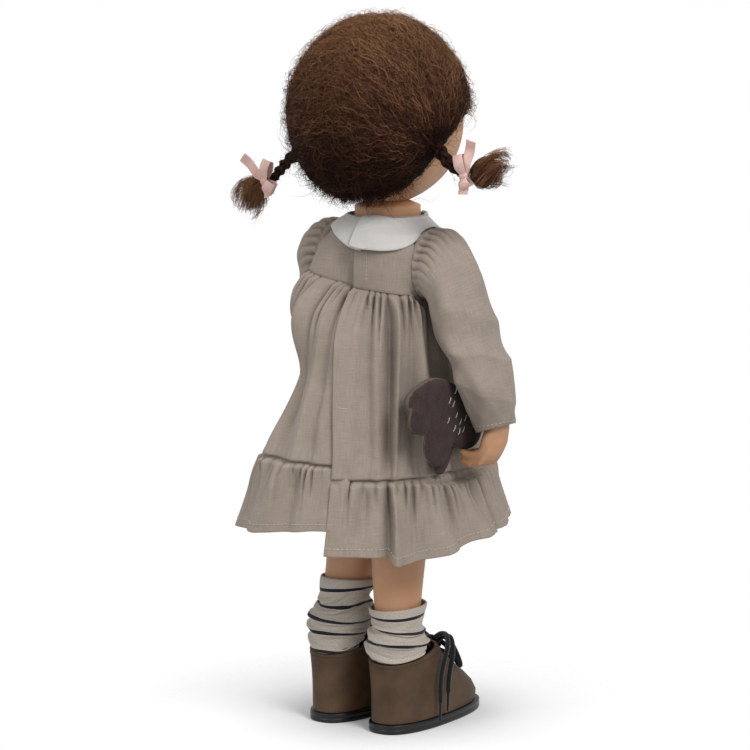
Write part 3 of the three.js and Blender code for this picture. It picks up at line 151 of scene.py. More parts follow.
# How far each ribbon reaches from the knot across the tied hair, and how many degrees it is turned
BOWS = {
    "left": {"loops": [(-9.5, -44), (7, 30)], "tails": [(-16.5, 20), (8, -8)]},
    "right": {"loops": [(9.5, 4), (-5, 14)], "tails": [(17, -26), (-8, -10)]},
}

# Dress
# Share by which the neck is filled out above the collar
NECK_FILL = 0.27
# Radius of the neck's opening, which keeps its size
NECK_HOLE = 11.2
# How far the neck and the neckline stand forward of the doll's axis
NECK_LEAN = 2.4
CLOTH = 1.1
# Length of each piece along its seam, by which its weave is scaled
WEAVE = {"yoke": 175, "skirt": 330, "ruffle": 430, "collar": (90, 17), "sleeve": (90, 92)}
# How far the placket's outer layer stands off the inner one, and how far the inner one reaches under it
LAYER_STEP = 2.8
UNDERLAP = 10
# How far the stitches that hold the placket run from its edge
PLACKET_STITCH = 7.2
# Share of the way down the skirt at which a bar of stitches closes the placket
BAR_STITCH = 0.62
# Degrees by which the placket's edge runs to the right on its way down the skirt
EDGE_LEAN = 10
# Yoke rings: height, half width and half depth
YOKE = np.array([
    (243.4, 17, 16.6), (240.6, 20.2, 18.8), (236.4, 25, 22.5),
    (228, 28, 25), (219, 28.2, 25.4), (213, 28.2, 25.6),
])
NECKLINE, YOKE_END = YOKE[0, 0], YOKE[-1, 0]
YOKE_BACK = YOKE[-1, 2]
# Radius of the armhole
ARMSCYE = 16.2
# Where the armhole's turned edge ends, out from the doll's middle, and how wide it is
LIP_END = 26.8
LIP_WIDTH = 6
LEFT_BULGE = {"out": 5.5, "direction": 38, "spread": 24}
COLLAR = {"thickness": 0.9, "lift": 1.3, "overlap": 1.5}
# Outer edge of the collar: direction in degrees, how far out and how high
COLLAR_EDGE = np.array([
    (-100, 25, 229), (-60, 26, 233), (-20, 25.2, 239.4), (20, 25.2, 240), (45, 25.8, 239.2),
    (65, 26.6, 236), (90, 26.8, 231.4), (125, 27, 230.4), (150, 26.4, 233.6), (170, 25.4, 238.6),
    (200, 25.2, 239.8), (240, 26, 233), (280, 25, 229),
])
# Level at which the skirt's plan starts
SKIRT_TOP = 212.6
# How far the yoke's lower edge laps over the skirt's upper edge
SEAM_LAP = 0.5
# Height of the seam between yoke and skirt: direction in degrees, counted on from the right panel's edge
YOKE_SEAM = [
    (-270, 212.6), (-245, 211.6), (-210, 209.8), (-180, 209.8), (-90, 212.6), (0, 219),
    (35, 219.4), (60, 216.2), (90, 212.8), (130, 211.8),
]
# How far down the skirt each column of the plan stands, as a share
SKIRT_SHARES = [0, 0.13, 0.57, 1]
# Skirt half widths at eight directions counted from the left side by way of the back, at the last
# three shares above and at the hem
SKIRT_PLAN = np.array([
    (31.4, 35.4, 45.5, 60),
    (43, 38.4, 58, 70),
    (35.4, 50, 60, 68),
    (36, 43, 49, 58),
    (30.5, 36.5, 39, 56),
    (38, 45, 51, 62),
    (37, 55, 65, 72),
    (40, 48, 57, 66),
])
# Height of the seam between skirt and ruffle, and then of the hem, by direction
SEAM_LINE = [(-270, 126), (-60, 126), (0, 131), (50, 133), (130, 131.5)]
HEM_LINE = [
    (-270, 92.6), (-250, 91.9), (-236, 91.5), (-233.4, 91.4), (-230.8, 87.8), (-229, 87.4),
    (-217, 88.6), (-200, 91.6), (-180, 95), (-145, 96.8), (-90, 95), (-30, 97), (0, 97),
    (40, 95.4), (65, 98.6), (90, 102.6), (130, 103.6),
]
SKIRT_LENGTH = SKIRT_TOP - SEAM_LINE[0][1]
# Room between the skirt's lower edge and the seam line
SEAM_SPACE = 0.7
# How far the ruffle's upper edge reaches up behind the skirt's lower edge
RUFFLE_TUCK = 1.6
RUFFLE_LENGTH = 36
# Room between the dress and what swings past it
SWING_SPACE = 0.9
# Inner sides of the toy and of the curled fingers, out from the doll's middle
TOY_INNER = 40.5
HAND_INNER = 45.4
# How far from the line through both shoulders the toy and the hand are, at their nearest and farthest
TOY_REACH = (44, 102)
HAND_REACH = (77, 99)
# Sleeve rings: middle (x, y, z), tilt of the ring from upright, half height across and half depth
SLEEVE = np.array([
    (23.6, 0, 222, 0, 15.2, 15.2),
    (27.1, 0, 222, 0, 17, 17),
    (33, 0.4, 222, 14, 16.8, 18.2),
    (40.6, 2, 215, 35, 13.8, 17.8),
    (45, 2.4, 203, 60, 12.6, 17.2),
    (48, 1, 192, 72, 13, 18),
    (54, 2, 181, 70, 11.6, 16),
    (58, 2, 171, 78, 12.4, 16.2),
    (60.5, 0, 160, 85, 11, 14),
    (60.7, -2, 153, 84, 10, 11.6),
    (61, -3.4, 147.6, 73, 9.2, 10.2),
])

# How far the raised left arm pushes the head of its sleeve in and up
LEFT_PUFF = np.array([0, 0.4, 1.6])

# Arm and palm rings: middle (x, y, z), half width and half depth
ARM = [
    (28, 0, 222, 9, 9), (33, 0, 221, 10.5, 10.5), (40, 0.5, 212, 9.5, 10), (46, 1, 198, 8.8, 9.6),
    (53, 2, 182, 8.2, 9), (58, 2, 171, 7.8, 8.6), (60.6, 0, 160, 7.2, 7.8), (61.4, -2, 152, 6, 6.6),
    (61.6, -4, 146, 5.6, 6.4),
]
PALM = [
    (61.6, -4, 148, 5.4, 6.2), (61.2, -3.6, 142, 5, 7.6),
    (59.4, -3, 136.5, 4.2, 8.2), (57.4, -3, 133.6, 3, 7.6),
]
THUMB = [
    (59.4, -9, 141, 2.4, 2.4), (56.6, -12, 138.5, 2.4, 2.4),
    (54, -13, 136.5, 2, 2), (52.4, -13.2, 135.4, 1.1, 1.1),
]
# How far the hand is drawn up from the rings above
HAND_RAISED = 4.2
FINGER = {"radius": 2.1, "first": -9.4, "spread": 4.1}

# Legs, socks and boots
STANCE = {
    "left": {"out": 20, "back": 24.5, "knee": (15.5, 3)},
    "right": {"out": 15.8, "back": 26, "knee": (14.5, 9.5)},
}
HIP = {"out": 13.8, "back": 2, "height": 132}
ANKLE = 42
KNEE = 82
HEEL_TO_ANKLE = 14
# Leg rings: height, half width and half depth
LEG = [
    (124, 13.6, 14.6), (106, 13.8, 14.4), (88, 13.3, 13.6), (72, 12, 12.6), (56, 10.6, 11.4), (40, 9.2, 9.8),
    (20, 8.8, 9.4),
]
# Ball of the hip: out from the doll's middle, radius
THIGH = [(8.4, 16.9), (12, 17.5), (20, 17.5), (24, 15.2), (27, 9), (28, 1)]
# Foot rings: how far in front of the boot's back, height, half width and half height
FOOT = [(7, 13, 4, 3), (12, 17, 8.8, 8), (30, 15, 8.6, 6.4), (56, 12.6, 8.8, 3.6), (67, 11, 4, 1.4)]
BOOT_LENGTH = 75
SOLE = 4.6
# The sole's half width at its widest, and how far it stands out beyond the boot at toe and heel
SOLE_HALF = 15.6
WELT = 1.2
# The sole's side: height and the share of its outline, which narrows by SOLE_INSET at a share of nothing
SOLE_SIDE = [
    (0, 0.3), (0, 0.93), (0.1, 0.985), (0.5, 1.0), (2.0, 1.0), (2.15, 0.988), (2.5, 0.988), (2.65, 1.0),
    (4.1, 1.0), (4.45, 0.985), (SOLE, 0.95), (SOLE, 0.3),
]
SOLE_INSET = 14
BOOT_WALL = 1.8
# Boot outline by height: how far the front has drawn back from the toe, and half its width
BOOT = np.array([
    (5, 1.2, 14.4), (9, 1.2, 14.8), (14, 5, 14.6), (19, 12, 14.2),
    (24, 21, 14), (29, 31, 13.8), (35, 38.8, 14), (42, 40.8, 14.2),
])
BOOT_BOTTOM = SOLE + 0.3
# How far the boot's outline is from an ellipse, across and along
BOOT_SQUARE = (0.82, 0.88)
# Seam of the toe cap: how far behind the toe its stitches and its step run, and half its width
TOE_SEAM = {"behind": 19.6, "step": 21, "half": 14.6}
BOOT_TOP_BACK = 33.5
BOOT_TOP_FRONT = 39
SOCK_TOP = {"left": 69, "right": 60}
SOCK_BOTTOM = 10
SOCK_START = 26
STRIPE_STEP = 6.9
STRIPE_START = {"left": 1.7, "right": 0.4}
SOCK_SEED = {"left": 11, "right": 23}
SOCK_RADIUS = 10.6
LACE_RADIUS = 0.9
# The ends and loops are looser and fuller than the rows, which are pulled flat
LOOSE_LACE = 1.2
LACE_ROWS = 4
LACE_HALF_ROW = 6
LOWEST_LACE = 23.5
KNOT_HEIGHT = 38
# The knot of the laces: out from its middle, radius
LACE_KNOT = [(-2.6, 0.5), (-1.6, 2), (0, 2.3), (1.6, 2), (2.6, 0.5)]
# A length in metres that each lace loop's length is held against. A loop longer than
# this, in metres, is told as a cord
SHORT_LACE = 0.035
AGLET = 10
# Lace lines from the knot: out to the doll's side, forward and up
LACE_LOOPS = {
    "outer": [
        (1, 1.4, 0), (5, 3.8, 1.2), (9.6, 4.6, -2.6), (13, 4.8, -8.4),
        (13.8, 5.4, -12), (11.8, 6.6, -12), (8.4, 6.4, -7.6), (4.4, 5, -2.6), (1, 2.4, -0.6),
    ],
    "inner": [(-1, 1, 0.4), (-7, 2, 2.4), (-11.6, 1, -0.6), (-11.6, 1.8, -4), (-7, 4, -2.6), (-1, 2, -0.6)],
}
LACE_ENDS = {
    "back": [
        (3.3, -0.7, 1.6), (6.5, -1.2, 3.6), (10, -2.2, 4.2), (13.2, -5, 3.2), (15.8, -8.6, 0.6),
        (17.4, -12.4, -3), (18, -15.4, -7), (18, -17, -12), (17.8, -17.4, -18), (17.7, -17.4, -24.4),
    ],
    "front": [
        (3.6, 0.6, -0.4), (6, 1.2, 1.4), (9.6, 0.8, 2.5), (13, -1.4, 2), (16, -4.4, -1.6),
        (17.8, -7.6, -5.6), (18.4, -10, -10), (18.3, -11.2, -15), (18.2, -11.4, -20.8),
    ],
}

# Toy fawn, along the doll from back to front: y, z, half thickness, half height
TOY_MIDDLE = -44.7
TOY_SQUARE = 0.8
TOY_BODY = [
    (44.4, 157.6, 1.2, 4.4), (41, 159.6, 3.4, 9.6), (34.4, 160.4, 4.2, 11.8), (25.4, 160.4, 4.2, 13),
    (15, 157, 4.2, 13.2), (4, 150.4, 4.2, 12.6), (-7, 147.4, 4, 11.4), (-14, 148, 2, 5),
]
TOY_HEAD = [
    (-11, 150, 2, 4), (-18, 154, 4.2, 6.6), (-26, 155, 4.2, 7), (-34, 152, 3, 4.6), (-38, 151, 1.2, 2.2),
]
# Felt legs: where each leaves the body, where its foot is, half its width and its place across
TOY_LEGS = {
    "hind_outer": ((38, 158.4), (41.4, 150.6), 8.8, -2.4),
    "hind_inner": ((35, 156), (37.6, 149.6), 5, 2.4),
    "front_outer": ((20, 151), (28.6, 136), 11.4, -2.4),
    "front_inner": ((10, 143), (17.4, 129.4), 7, 2.4),
}
# Section of a leg: share of the way to the foot, half thickness, share of the leg's half width
TOY_LEG_SECTION = [(0, 2, 1), (0.55, 2, 1), (0.92, 1.7, 0.82), (1.1, 1.1, 0.5), (1.16, 0.3, 0.15)]
TOY_EAR = [(-17.5, 160, 0.9, 1.4), (-14.5, 163.5, 1.2, 2.6), (-11.5, 167, 0.4, 0.8)]
EAR_APART = 2.6
# Embroidered flecks on the outer side panel: y, z and how far each leans forward
TOY_FLECKS = [
    (12, 166, 0.5), (14, 160, 0.7), (11.5, 154.5, 0.6), (8, 151, 0.7), (5.5, 147, 0.6), (13, 148.5, 0.7),
    (9, 146.5, 0.5), (4, 152, 0.6), (17, 162, 0.7), (18, 153, 0.6),
]
FLECK_HALF = 1.4

# Stitches: distance from one to the next, length and radius
BOOT_STITCH = (1.5, 1.0, 0.13)
HEM_STITCH = (2.0, 1.35, 0.15)
COLLAR_STITCH = (2.0, 1.2, 0.13)
PLACKET_THREAD = (1.9, 1.2, 0.11)
BAR_THREAD = (1.1, 1.0, 0.16)

head_joint = next(joint for joint in frame["joints"] if joint["name"] == "head_turn")
AXIS = np.array([head_joint["pos_m"][0], head_joint["pos_m"][1], 0])


# Numbers and lines


def smooth(value, start, end):
    """From 0 at the start to 1 at the end, with a soft beginning and end."""
    share = np.clip((value - start) / (end - start), 0, 1)
    return share * share * (3 - 2 * share)


def mix(a, b, share):
    """The value a share of the way from a to b."""
    return a + (b - a) * share


def unit(vectors):
    """The same directions with a length of one."""
    return vectors / np.maximum(np.linalg.norm(vectors, axis=-1, keepdims=True), 1e-9)


def squared(value, power):
    """Sines or cosines drawn towards their ends, for an outline squarer than an ellipse."""
    return np.sign(value) * np.abs(value) ** power


def full_turn(steps):
    """Angles evenly round a circle, without the first one again at the end."""
    return np.linspace(0, 2 * math.pi, steps, endpoint=False)


def stacked(*columns):
    """Points from their coordinates, each spread to the shape they have together."""
    return np.stack(np.broadcast_arrays(*columns), -1)


def between(low, high, slope, next_slope, t):
    """A smooth line from one station to the next, with its slope at each counted over the whole step."""
    return (
        low * (2 * t**3 - 3 * t**2 + 1) + slope * (t**3 - 2 * t**2 + t)
        + high * (3 * t**2 - 2 * t**3) + next_slope * (t**3 - t**2)
    )


def through(keys, values, at):
    """Values at places along rising keys, on a smooth line through the given ones."""
    keys, values = np.asarray(keys, float), np.asarray(values, float)
    at = np.clip(np.asarray(at, float), keys[0], keys[-1])
    slopes = np.gradient(values, keys, axis=0)
    i = np.clip(np.searchsorted(keys, at, side="right") - 1, 0, len(keys) - 2)
    more = (1,) * (values.ndim - 1)
    span = (keys[i + 1] - keys[i]).reshape(at.shape + more)
    t = (at - keys[i]).reshape(at.shape + more) / span
    return between(values[i], values[i + 1], slopes[i] * span, slopes[i + 1] * span, t)


def table_line(table, at):
    """The second column of a list of stations at places given by the first."""
    ordered = sorted(table)
    return through([row[0] for row in ordered], [row[1] for row in ordered], at)


def line_through(points, steps):
    """Evenly numbered points on a smooth line through the given ones."""
    return through(np.arange(len(points)), points, np.linspace(0, len(points) - 1, steps))


def ripple(seed, u, v):
    """A soft random surface between about -1 and 1."""
    rng = np.random.default_rng(seed)
    waves = 6
    total = 0
    for _ in range(waves):
        along, across = rng.uniform(0.5, 1.6, 2) * rng.choice([-1, 1], 2)
        total = total + np.sin(along * u + across * v + rng.uniform(0, 2 * math.pi))
    return total / math.sqrt(waves)


def turned_forward(points, degrees):
    """Points turned about the line through both shoulders, so that the arm reaches forward."""
    turn = -math.radians(degrees)
    y, z = points[..., 1], points[..., 2] - SHOULDER
    sine, cosine = math.sin(turn), math.cos(turn)
    return stacked(points[..., 0], y * cosine - z * sine, y * sine + z * cosine + SHOULDER)


# Meshes


def added(name, data):
    """A new object in the scene."""
    piece = bpy.data.objects.new(name, data)
    bpy.context.scene.collection.objects.link(piece)
    return piece


def copy_of(name, node_name):
    """A new object with a copy of the mesh of one of the frame's nodes."""
    return added(name, frame["nodes"][node_name].data.copy())


def grid_faces(rows, columns, closed_round):
    """Four-cornered faces between the rows and columns of a grid."""
    across = columns if closed_round else columns - 1
    row, column = np.meshgrid(np.arange(rows - 1), np.arange(across), indexing="ij")
    after = (column + 1) % columns
    this_row, next_row = row * columns, (row + 1) * columns
    corners = [this_row + column, this_row + after, next_row + after, next_row + column]
    return np.stack(corners, -1).reshape(-1, 4)


def give_tone(mesh, tone):
    """Stores a number at each point of a mesh, for its material."""
    attribute = mesh.attributes.new("tone", "FLOAT", "POINT")
    attribute.data.foreach_set("value", np.asarray(tone, float).ravel())


def points_of(piece):
    """The points of a piece's mesh, in millimetres around the doll's own line."""
    places = np.zeros(len(piece.data.vertices) * 3)
    piece.data.vertices.foreach_get("co", places)
    return (places.reshape(-1, 3) - AXIS) * 1000


def move_points(piece, points):
    """Puts the points of a piece's mesh at places in millimetres."""
    piece.data.vertices.foreach_set("co", (points / 1000 + AXIS).ravel())


def mesh_object(name, points, faces, uv=None, tone=None):
    """A smooth mesh from points in millimetres; tone is a number at each point for its material."""
    places = np.asarray(points, float).reshape(-1, 3) / 1000 + AXIS
    mesh = bpy.data.meshes.new(name)
    mesh.from_pydata(places.tolist(), [], [list(face) for face in faces])
    mesh.update()
    if uv is not None:
        corners = np.zeros(len(mesh.loops), int)
        mesh.loops.foreach_get("vertex_index", corners)
        layer = mesh.uv_layers.new(name="UVMap")
        layer.data.foreach_set("uv", np.asarray(uv, float).reshape(-1, 2)[corners].ravel())
    if tone is not None:
        give_tone(mesh, tone)
    mesh.shade_smooth()
    return added(name, mesh)


def surface(name, rings, closed_round=True, capped=False, uv=None, keep=None):
    """A grid of points as a surface with its faces turned away from the middle of each row."""
    rows, columns = rings.shape[:2]
    faces = grid_faces(rows, columns, closed_round)
    points = rings.reshape(-1, 3)
    middles = np.repeat(rings.mean(1), columns, 0)
    corners = points[faces]
    normals = np.cross(corners[:, 2] - corners[:, 0], corners[:, 3] - corners[:, 1])
    if np.sum(normals * (corners.mean(1) - middles[faces[:, 0]])) < 0:
        faces = faces[:, ::-1]
    if keep is not None:
        faces = faces[keep.reshape(-1)[faces].any(1)]
    faces = faces.tolist()
    if capped:
        faces += [list(range(columns)), list(range((rows - 1) * columns, rows * columns))[::-1]]
    if uv is None:
        around = np.linspace(0, 1, columns)[None, :] * 100 + np.zeros((rows, 1))
        along = np.concatenate([[0], np.cumsum(np.linalg.norm(np.diff(rings.mean(1), axis=0), axis=1))])
        uv = np.stack([around, along[:, None] + np.zeros((1, columns))], -1)
    return mesh_object(name, points, faces, uv)


def applied(piece):
    """The piece with its modifiers made part of its mesh."""
    evaluated = piece.evaluated_get(bpy.context.evaluated_depsgraph_get())
    mesh = bpy.data.meshes.new_from_object(evaluated)
    piece.modifiers.clear()
    piece.data = mesh
    mesh.shade_smooth()
    return piece


def thickened(piece, thickness):
    """Cloth given its thickness on the inner side, with closed edges and no loose points."""
    solid = piece.modifiers.new("thickness", "SOLIDIFY")
    solid.thickness = thickness / 1000
    solid.offset = -1
    applied(piece)
    return piece


def joined(name, pieces):
    """Several pieces made one, with their shapes as they are."""
    bpy.ops.object.select_all(action="DESELECT")
    for piece in pieces:
        piece.select_set(True)
    bpy.context.view_layer.objects.active = pieces[0]
    bpy.ops.object.join()
    whole = bpy.context.view_layer.objects.active
    whole.name = name
    return whole


def fused(name, pieces, voxel, rounds):
    """Overlapping closed pieces grown into one smooth skin."""
    whole = joined(name, pieces)
    grown = whole.modifiers.new("skin", "REMESH")
    grown.mode = "VOXEL"
    grown.voxel_size = voxel / 1000
    soft = whole.modifiers.new("soft", "SMOOTH")
    soft.factor = 0.5
    soft.iterations = rounds
    return applied(whole)


def limb(name, stations, sides=28, steps=40, reference=(0, 1, 0), power=1.0):
    """A closed round limb through rings [x, y, z, half width, half depth]."""
    line = line_through(stations, steps)
    middles, sizes = line[:, :3], line[:, 3:]
    forward = unit(np.gradient(middles, axis=0))
    deep = unit(np.array(reference) - (forward @ np.array(reference))[:, None] * forward)
    wide = np.cross(deep, forward)
    turn = full_turn(sides)
    across, along = squared(np.cos(turn), power), squared(np.sin(turn), power)
    rings = (
        middles[:, None]
        + wide[:, None] * (sizes[:, :1] * across)[..., None]
        + deep[:, None] * (sizes[:, 1:2] * along)[..., None]
    )
    return surface(name, rings, capped=True)


def tubes(paths, radii, sides, reference):
    """Points, faces and UVs of many tubes; paths is (tubes, points, 3) and radii (tubes, points)."""
    paths = np.asarray(paths, float)
    forward = unit(np.gradient(paths, axis=1))
    flank = unit(np.cross(forward, np.array(reference, float)))
    lift = np.cross(flank, forward)
    turn = full_turn(sides)
    spread = flank[:, :, None] * np.cos(turn)[:, None] + lift[:, :, None] * np.sin(turn)[:, None]
    rings = paths[:, :, None] + spread * np.broadcast_to(radii, paths.shape[:2])[..., None, None]
    count, steps = paths.shape[:2]
    one = grid_faces(steps, sides, True)
    faces = (one[None] + (np.arange(count) * steps * sides)[:, None, None]).reshape(-1, 4)
    lengths = np.linalg.norm(np.diff(paths, axis=1), axis=2)
    along = np.concatenate([np.zeros((count, 1)), np.cumsum(lengths, 1)], 1)
    return rings.reshape(-1, 3), faces, stacked(np.arange(sides)[None, None] * 1.0, along[:, :, None])


def strips(paths, across, widths):
    """Points and faces of many flat strips, each as wide at every point as widths says."""
    half = across * (np.broadcast_to(widths, paths.shape[:2]) / 2)[..., None]
    edges = np.stack([paths - half, paths + half], 2)
    count, steps = paths.shape[:2]
    one = grid_faces(steps, 2, False)
    faces = (one[None] + (np.arange(count) * steps * 2)[:, None, None]).reshape(-1, 4)
    return edges.reshape(-1, 3), faces


# Materials


def node(material, kind, links=None, **values):
    """A shader node; values set its settings or its inputs, links join its inputs to outputs."""
    made = material.node_tree.nodes.new("ShaderNode" + kind)
    for key, value in values.items():
        if hasattr(made, key):
            setattr(made, key, value)
        else:
            made.inputs[key.replace("_", " ")].default_value = value
    for key, output in (links or {}).items():
        material.node_tree.links.new(output, made.inputs[key])
    return made


def srgb(red, green, blue):
    """A colour given in the 0 to 255 steps of a picture, as light."""
    steps = [value / 255 for value in (red, green, blue)]
    light = [step / 12.92 if step <= 0.04045 else ((step + 0.055) / 1.055) ** 2.4 for step in steps]
    return (*light, 1)


def new_material(name, roughness, **fixed):
    """A material whose other shader inputs are given by name."""
    material = bpy.data.materials.new(name)
    material.use_nodes = True
    shader = material.node_tree.nodes["Principled BSDF"]
    shader.inputs["Roughness"].default_value = roughness
    for key, value in fixed.items():
        shader.inputs[key.replace("_", " ")].default_value = value
    return material


def join(material, output, name):
    """Links an output to the shader's input of that name."""
    material.node_tree.links.new(output, material.node_tree.nodes["Principled BSDF"].inputs[name])


def coordinates(material, kind, scale=(1, 1, 1)):
    """Places on the surface, in the object's or the UV map's measure."""
    place = node(material, "TexCoord")
    return node(material, "Mapping", {"Vector": place.outputs[kind]}, Scale=scale).outputs["Vector"]


def noise(material, vector, scale, detail=3.0, roughness=0.55):
    """A soft random number over the surface."""
    made = node(material, "TexNoise", {"Vector": vector}, Scale=scale, Detail=detail, Roughness=roughness)
    return made.outputs["Fac"]


def ramp(material, factor, *stops):
    """A colour from a number, through stops of (place, colour)."""
    made = node(material, "ValToRGB", {"Fac": factor})
    elements = made.color_ramp.elements
    for i, (place, colour) in enumerate(stops):
        element = elements[i] if i < 2 else elements.new(place)
        element.position = place
        element.color = colour
    return made.outputs["Color"]


def colour_by(material, factor, *stops):
    """Gives a material a colour that follows a number, through stops of (place, colour)."""
    join(material, ramp(material, factor, *stops), "Base Color")


def math_node(material, operation, first, second):
    """A sum or the like of two numbers or outputs."""
    made = node(material, "Math", operation=operation)
    for socket, value in zip(made.inputs, (first, second)):
        if isinstance(value, (int, float)):
            socket.default_value = value
        else:
            material.node_tree.links.new(value, socket)
    return made.outputs[0]


def bump(material, height, strength, distance):
    """Makes the surface look raised where height is large."""
    made = node(material, "Bump", {"Height": height}, Strength=strength, Distance=distance)
    join(material, made.outputs["Normal"], "Normal")


def waves(material, vector, period, direction):
    """Straight waves along X or Y with the given period in millimetres of the UV map."""
    scale = 2 * math.pi / 20 / period
    made = node(material, "TexWave", {"Vector": vector}, bands_direction=direction, Scale=scale)
    return made.outputs["Fac"]


def times(material, output, factor):
    """An output multiplied by a number."""
    return math_node(material, "MULTIPLY", output, factor)


def cloth_material(name, dark, middle, light, thread, slub=0.5):
    """Woven cloth: two sets of threads, uneven thick threads both ways and a soft overall mottle, with
    painted shade that darkens the colour in its creases.
    """
    material = new_material(name, 0.92, Specular_IOR_Level=0.2, Sheen_Weight=0.12, Sheen_Roughness=0.5)
    uv = coordinates(material, "UV")
    along = noise(material, coordinates(material, "UV", (0.14, 2.6, 1)), 1.0)
    across = noise(material, coordinates(material, "UV", (2.6, 0.14, 1)), 1.0)
    mottle = noise(material, coordinates(material, "Object"), 130.0, 5.0)
    weave = math_node(
        material, "ADD", waves(material, uv, thread, "X"), waves(material, uv, thread * 1.08, "Y")
    )
    mixed = math_node(material, "ADD", along, across)
    cloudy, fine = 0.3, 0.07
    toned = math_node(material, "ADD", times(material, mixed, slub), times(material, mottle, cloudy))
    toned = math_node(material, "ADD", toned, times(material, weave, fine))
    centre = slub + cloudy / 2 + fine
    woven = ramp(material, toned, (centre - 0.34, dark), (centre, middle), (centre + 0.34, light))
    # Painted shade: ambient occlusion close by darkens the cloth's colour in its creases and folds
    crease_occlusion = node(material, "AmbientOcclusion", Distance=0.007, samples=6, only_local=True).outputs["AO"]
    painted_crease_shade = ramp(material, crease_occlusion, (0.25, (0.42, 0.4, 0.38, 1)), (0.9, (1, 1, 1, 1)))
    shaded = node(material, "MixRGB", {"Color1": woven, "Color2": painted_crease_shade}, blend_type="MULTIPLY", Fac=1)
    join(material, shaded.outputs["Color"], "Base Color")
    bump(material, math_node(material, "ADD", weave, mixed), 0.4, 0.00016)
    return material


def vinyl_material():
    """Skin with a slight mottle; painted places take the colour of the mesh's paint."""
    material = new_material(
        "vinyl", 0.46, Subsurface_Weight=0.12, Subsurface_Scale=0.006,
        Specular_IOR_Level=0.4, Coat_Weight=0.04,
    )
    place = coordinates(material, "Object")
    tone = noise(material, place, 38.0, 4.0)
    colour = ramp(material, tone, (0.3, srgb(180, 133, 98)), (0.7, srgb(197, 151, 116)))
    paint = node(material, "Attribute", attribute_name="paint")
    share = node(material, "Attribute", attribute_name="tone")
    links = {"Fac": share.outputs["Fac"], "Color1": colour, "Color2": paint.outputs["Color"]}
    join(material, node(material, "MixRGB", links).outputs["Color"], "Base Color")
    bump(material, noise(material, place, 900.0, 2.0), 0.12, 0.0002)
    return material


def hair_material(name, dark, middle, light):
    """Hair whose tone is given at each point of the mesh."""
    material = new_material(name, 0.62, Specular_IOR_Level=0.12)
    tone = node(material, "Attribute", attribute_name="tone").outputs["Fac"]
    streak = noise(material, coordinates(material, "Object"), 420.0, 4.0)
    streaked = times(material, math_node(material, "SUBTRACT", streak, 0.5), 0.25)
    mixed = math_node(material, "ADD", tone, streaked)
    colour_by(material, mixed, (0.1, dark), (0.45, middle), (0.95, light))
    bump(material, streak, 0.3, 0.0003)
    return material


def satin_material():
    """Pale pink satin with a fine weft."""
    material = new_material("satin", 0.34, Specular_IOR_Level=0.6, Sheen_Weight=0.2)
    uv = coordinates(material, "UV")
    weft = waves(material, uv, 0.35, "Y")
    tone = noise(material, coordinates(material, "Object"), 240.0, 3.0)
    colour_by(material, tone, (0.3, srgb(200, 158, 148)), (0.75, srgb(222, 186, 176)))
    bump(material, weft, 0.25, 0.0001)
    return material


def speckled(material, scale, detail, dark, light, strength, depth):
    """Gives a material two close tones and a fine roughness that follow one noise."""
    tone = noise(material, coordinates(material, "Object"), scale, detail)
    colour_by(material, tone, dark, light)
    bump(material, tone, strength, depth)
    return material


def elastic_material():
    """Clear, slightly milky rubber band."""
    material = new_material("clear_elastic", 0.18, Specular_IOR_Level=0.8, Coat_Weight=0.4)
    tones = (0.3, srgb(168, 166, 168)), (0.7, srgb(214, 212, 212))
    return speckled(material, 500.0, 2.0, *tones, 0.2, 0.0003)


def knit_material():
    """Fine knit with thin navy stripes; the UV map's Y is the height along the sock."""
    material = new_material("sock_knit", 0.95, Specular_IOR_Level=0.15, Sheen_Weight=0.2)
    uv = coordinates(material, "UV")
    height = node(material, "SeparateXYZ", {"Vector": uv}).outputs["Y"]
    place = math_node(material, "FRACT", math_node(material, "DIVIDE", height, STRIPE_STEP), 0)
    from_stripe = math_node(material, "ABSOLUTE", math_node(material, "SUBTRACT", place, 0.5), 0)
    fuzzy = math_node(material, "ADD", from_stripe, times(material, noise(material, uv, 1.6), 0.02))
    tone = noise(material, coordinates(material, "UV", (0.9, 0.9, 1)), 2.2, 4.0)
    wool = ramp(material, tone, (0.3, srgb(160, 149, 137)), (0.7, srgb(190, 180, 168)))
    stripe = ramp(material, fuzzy, (0.1, srgb(24, 25, 36)), (0.125, srgb(255, 255, 255)))
    is_stripe = ramp(material, fuzzy, (0.1, (1, 1, 1, 1)), (0.125, (0, 0, 0, 1)))
    mixed = node(material, "MixRGB", {"Fac": is_stripe, "Color1": wool, "Color2": stripe})
    join(material, mixed.outputs["Color"], "Base Color")
    stitch = math_node(material, "MULTIPLY", waves(material, uv, 0.75, "X"), waves(material, uv, 0.6, "Y"))
    bump(material, stitch, 0.5, 0.0002)
    return material


def leather_material():
    """Brown grained leather."""
    material = new_material("boot_leather", 0.56, Specular_IOR_Level=0.28)
    place = coordinates(material, "Object")
    cells = node(material, "TexVoronoi", {"Vector": place}, Scale=900.0, feature="DISTANCE_TO_EDGE")
    tone = noise(material, place, 90.0, 5.0)
    colour_by(material, tone, (0.3, srgb(66, 47, 32)), (0.7, srgb(86, 65, 46)))
    grain = math_node(material, "ADD", cells.outputs["Distance"], times(material, tone, 0.6))
    bump(material, grain, 0.45, 0.0004)
    return material


def rubber_material():
    """Black rubber with a dull shine."""
    material = new_material("boot_sole", 0.36, Specular_IOR_Level=0.4)
    tones = (0.3, srgb(10, 10, 11)), (0.7, srgb(24, 23, 23))
    return speckled(material, 300.0, 4.0, *tones, 0.25, 0.0003)


def cord_material():
    """Braided black lace."""
    material = new_material("lace", 0.85, Specular_IOR_Level=0.2, Sheen_Weight=0.3)
    place = coordinates(material, "Object")
    braid = node(material, "TexVoronoi", {"Vector": place}, Scale=1300.0).outputs["Distance"]
    colour_by(material, braid, (0.1, srgb(22, 21, 22)), (0.6, srgb(8, 8, 9)))
    bump(material, braid, 0.6, 0.0003)
    return material


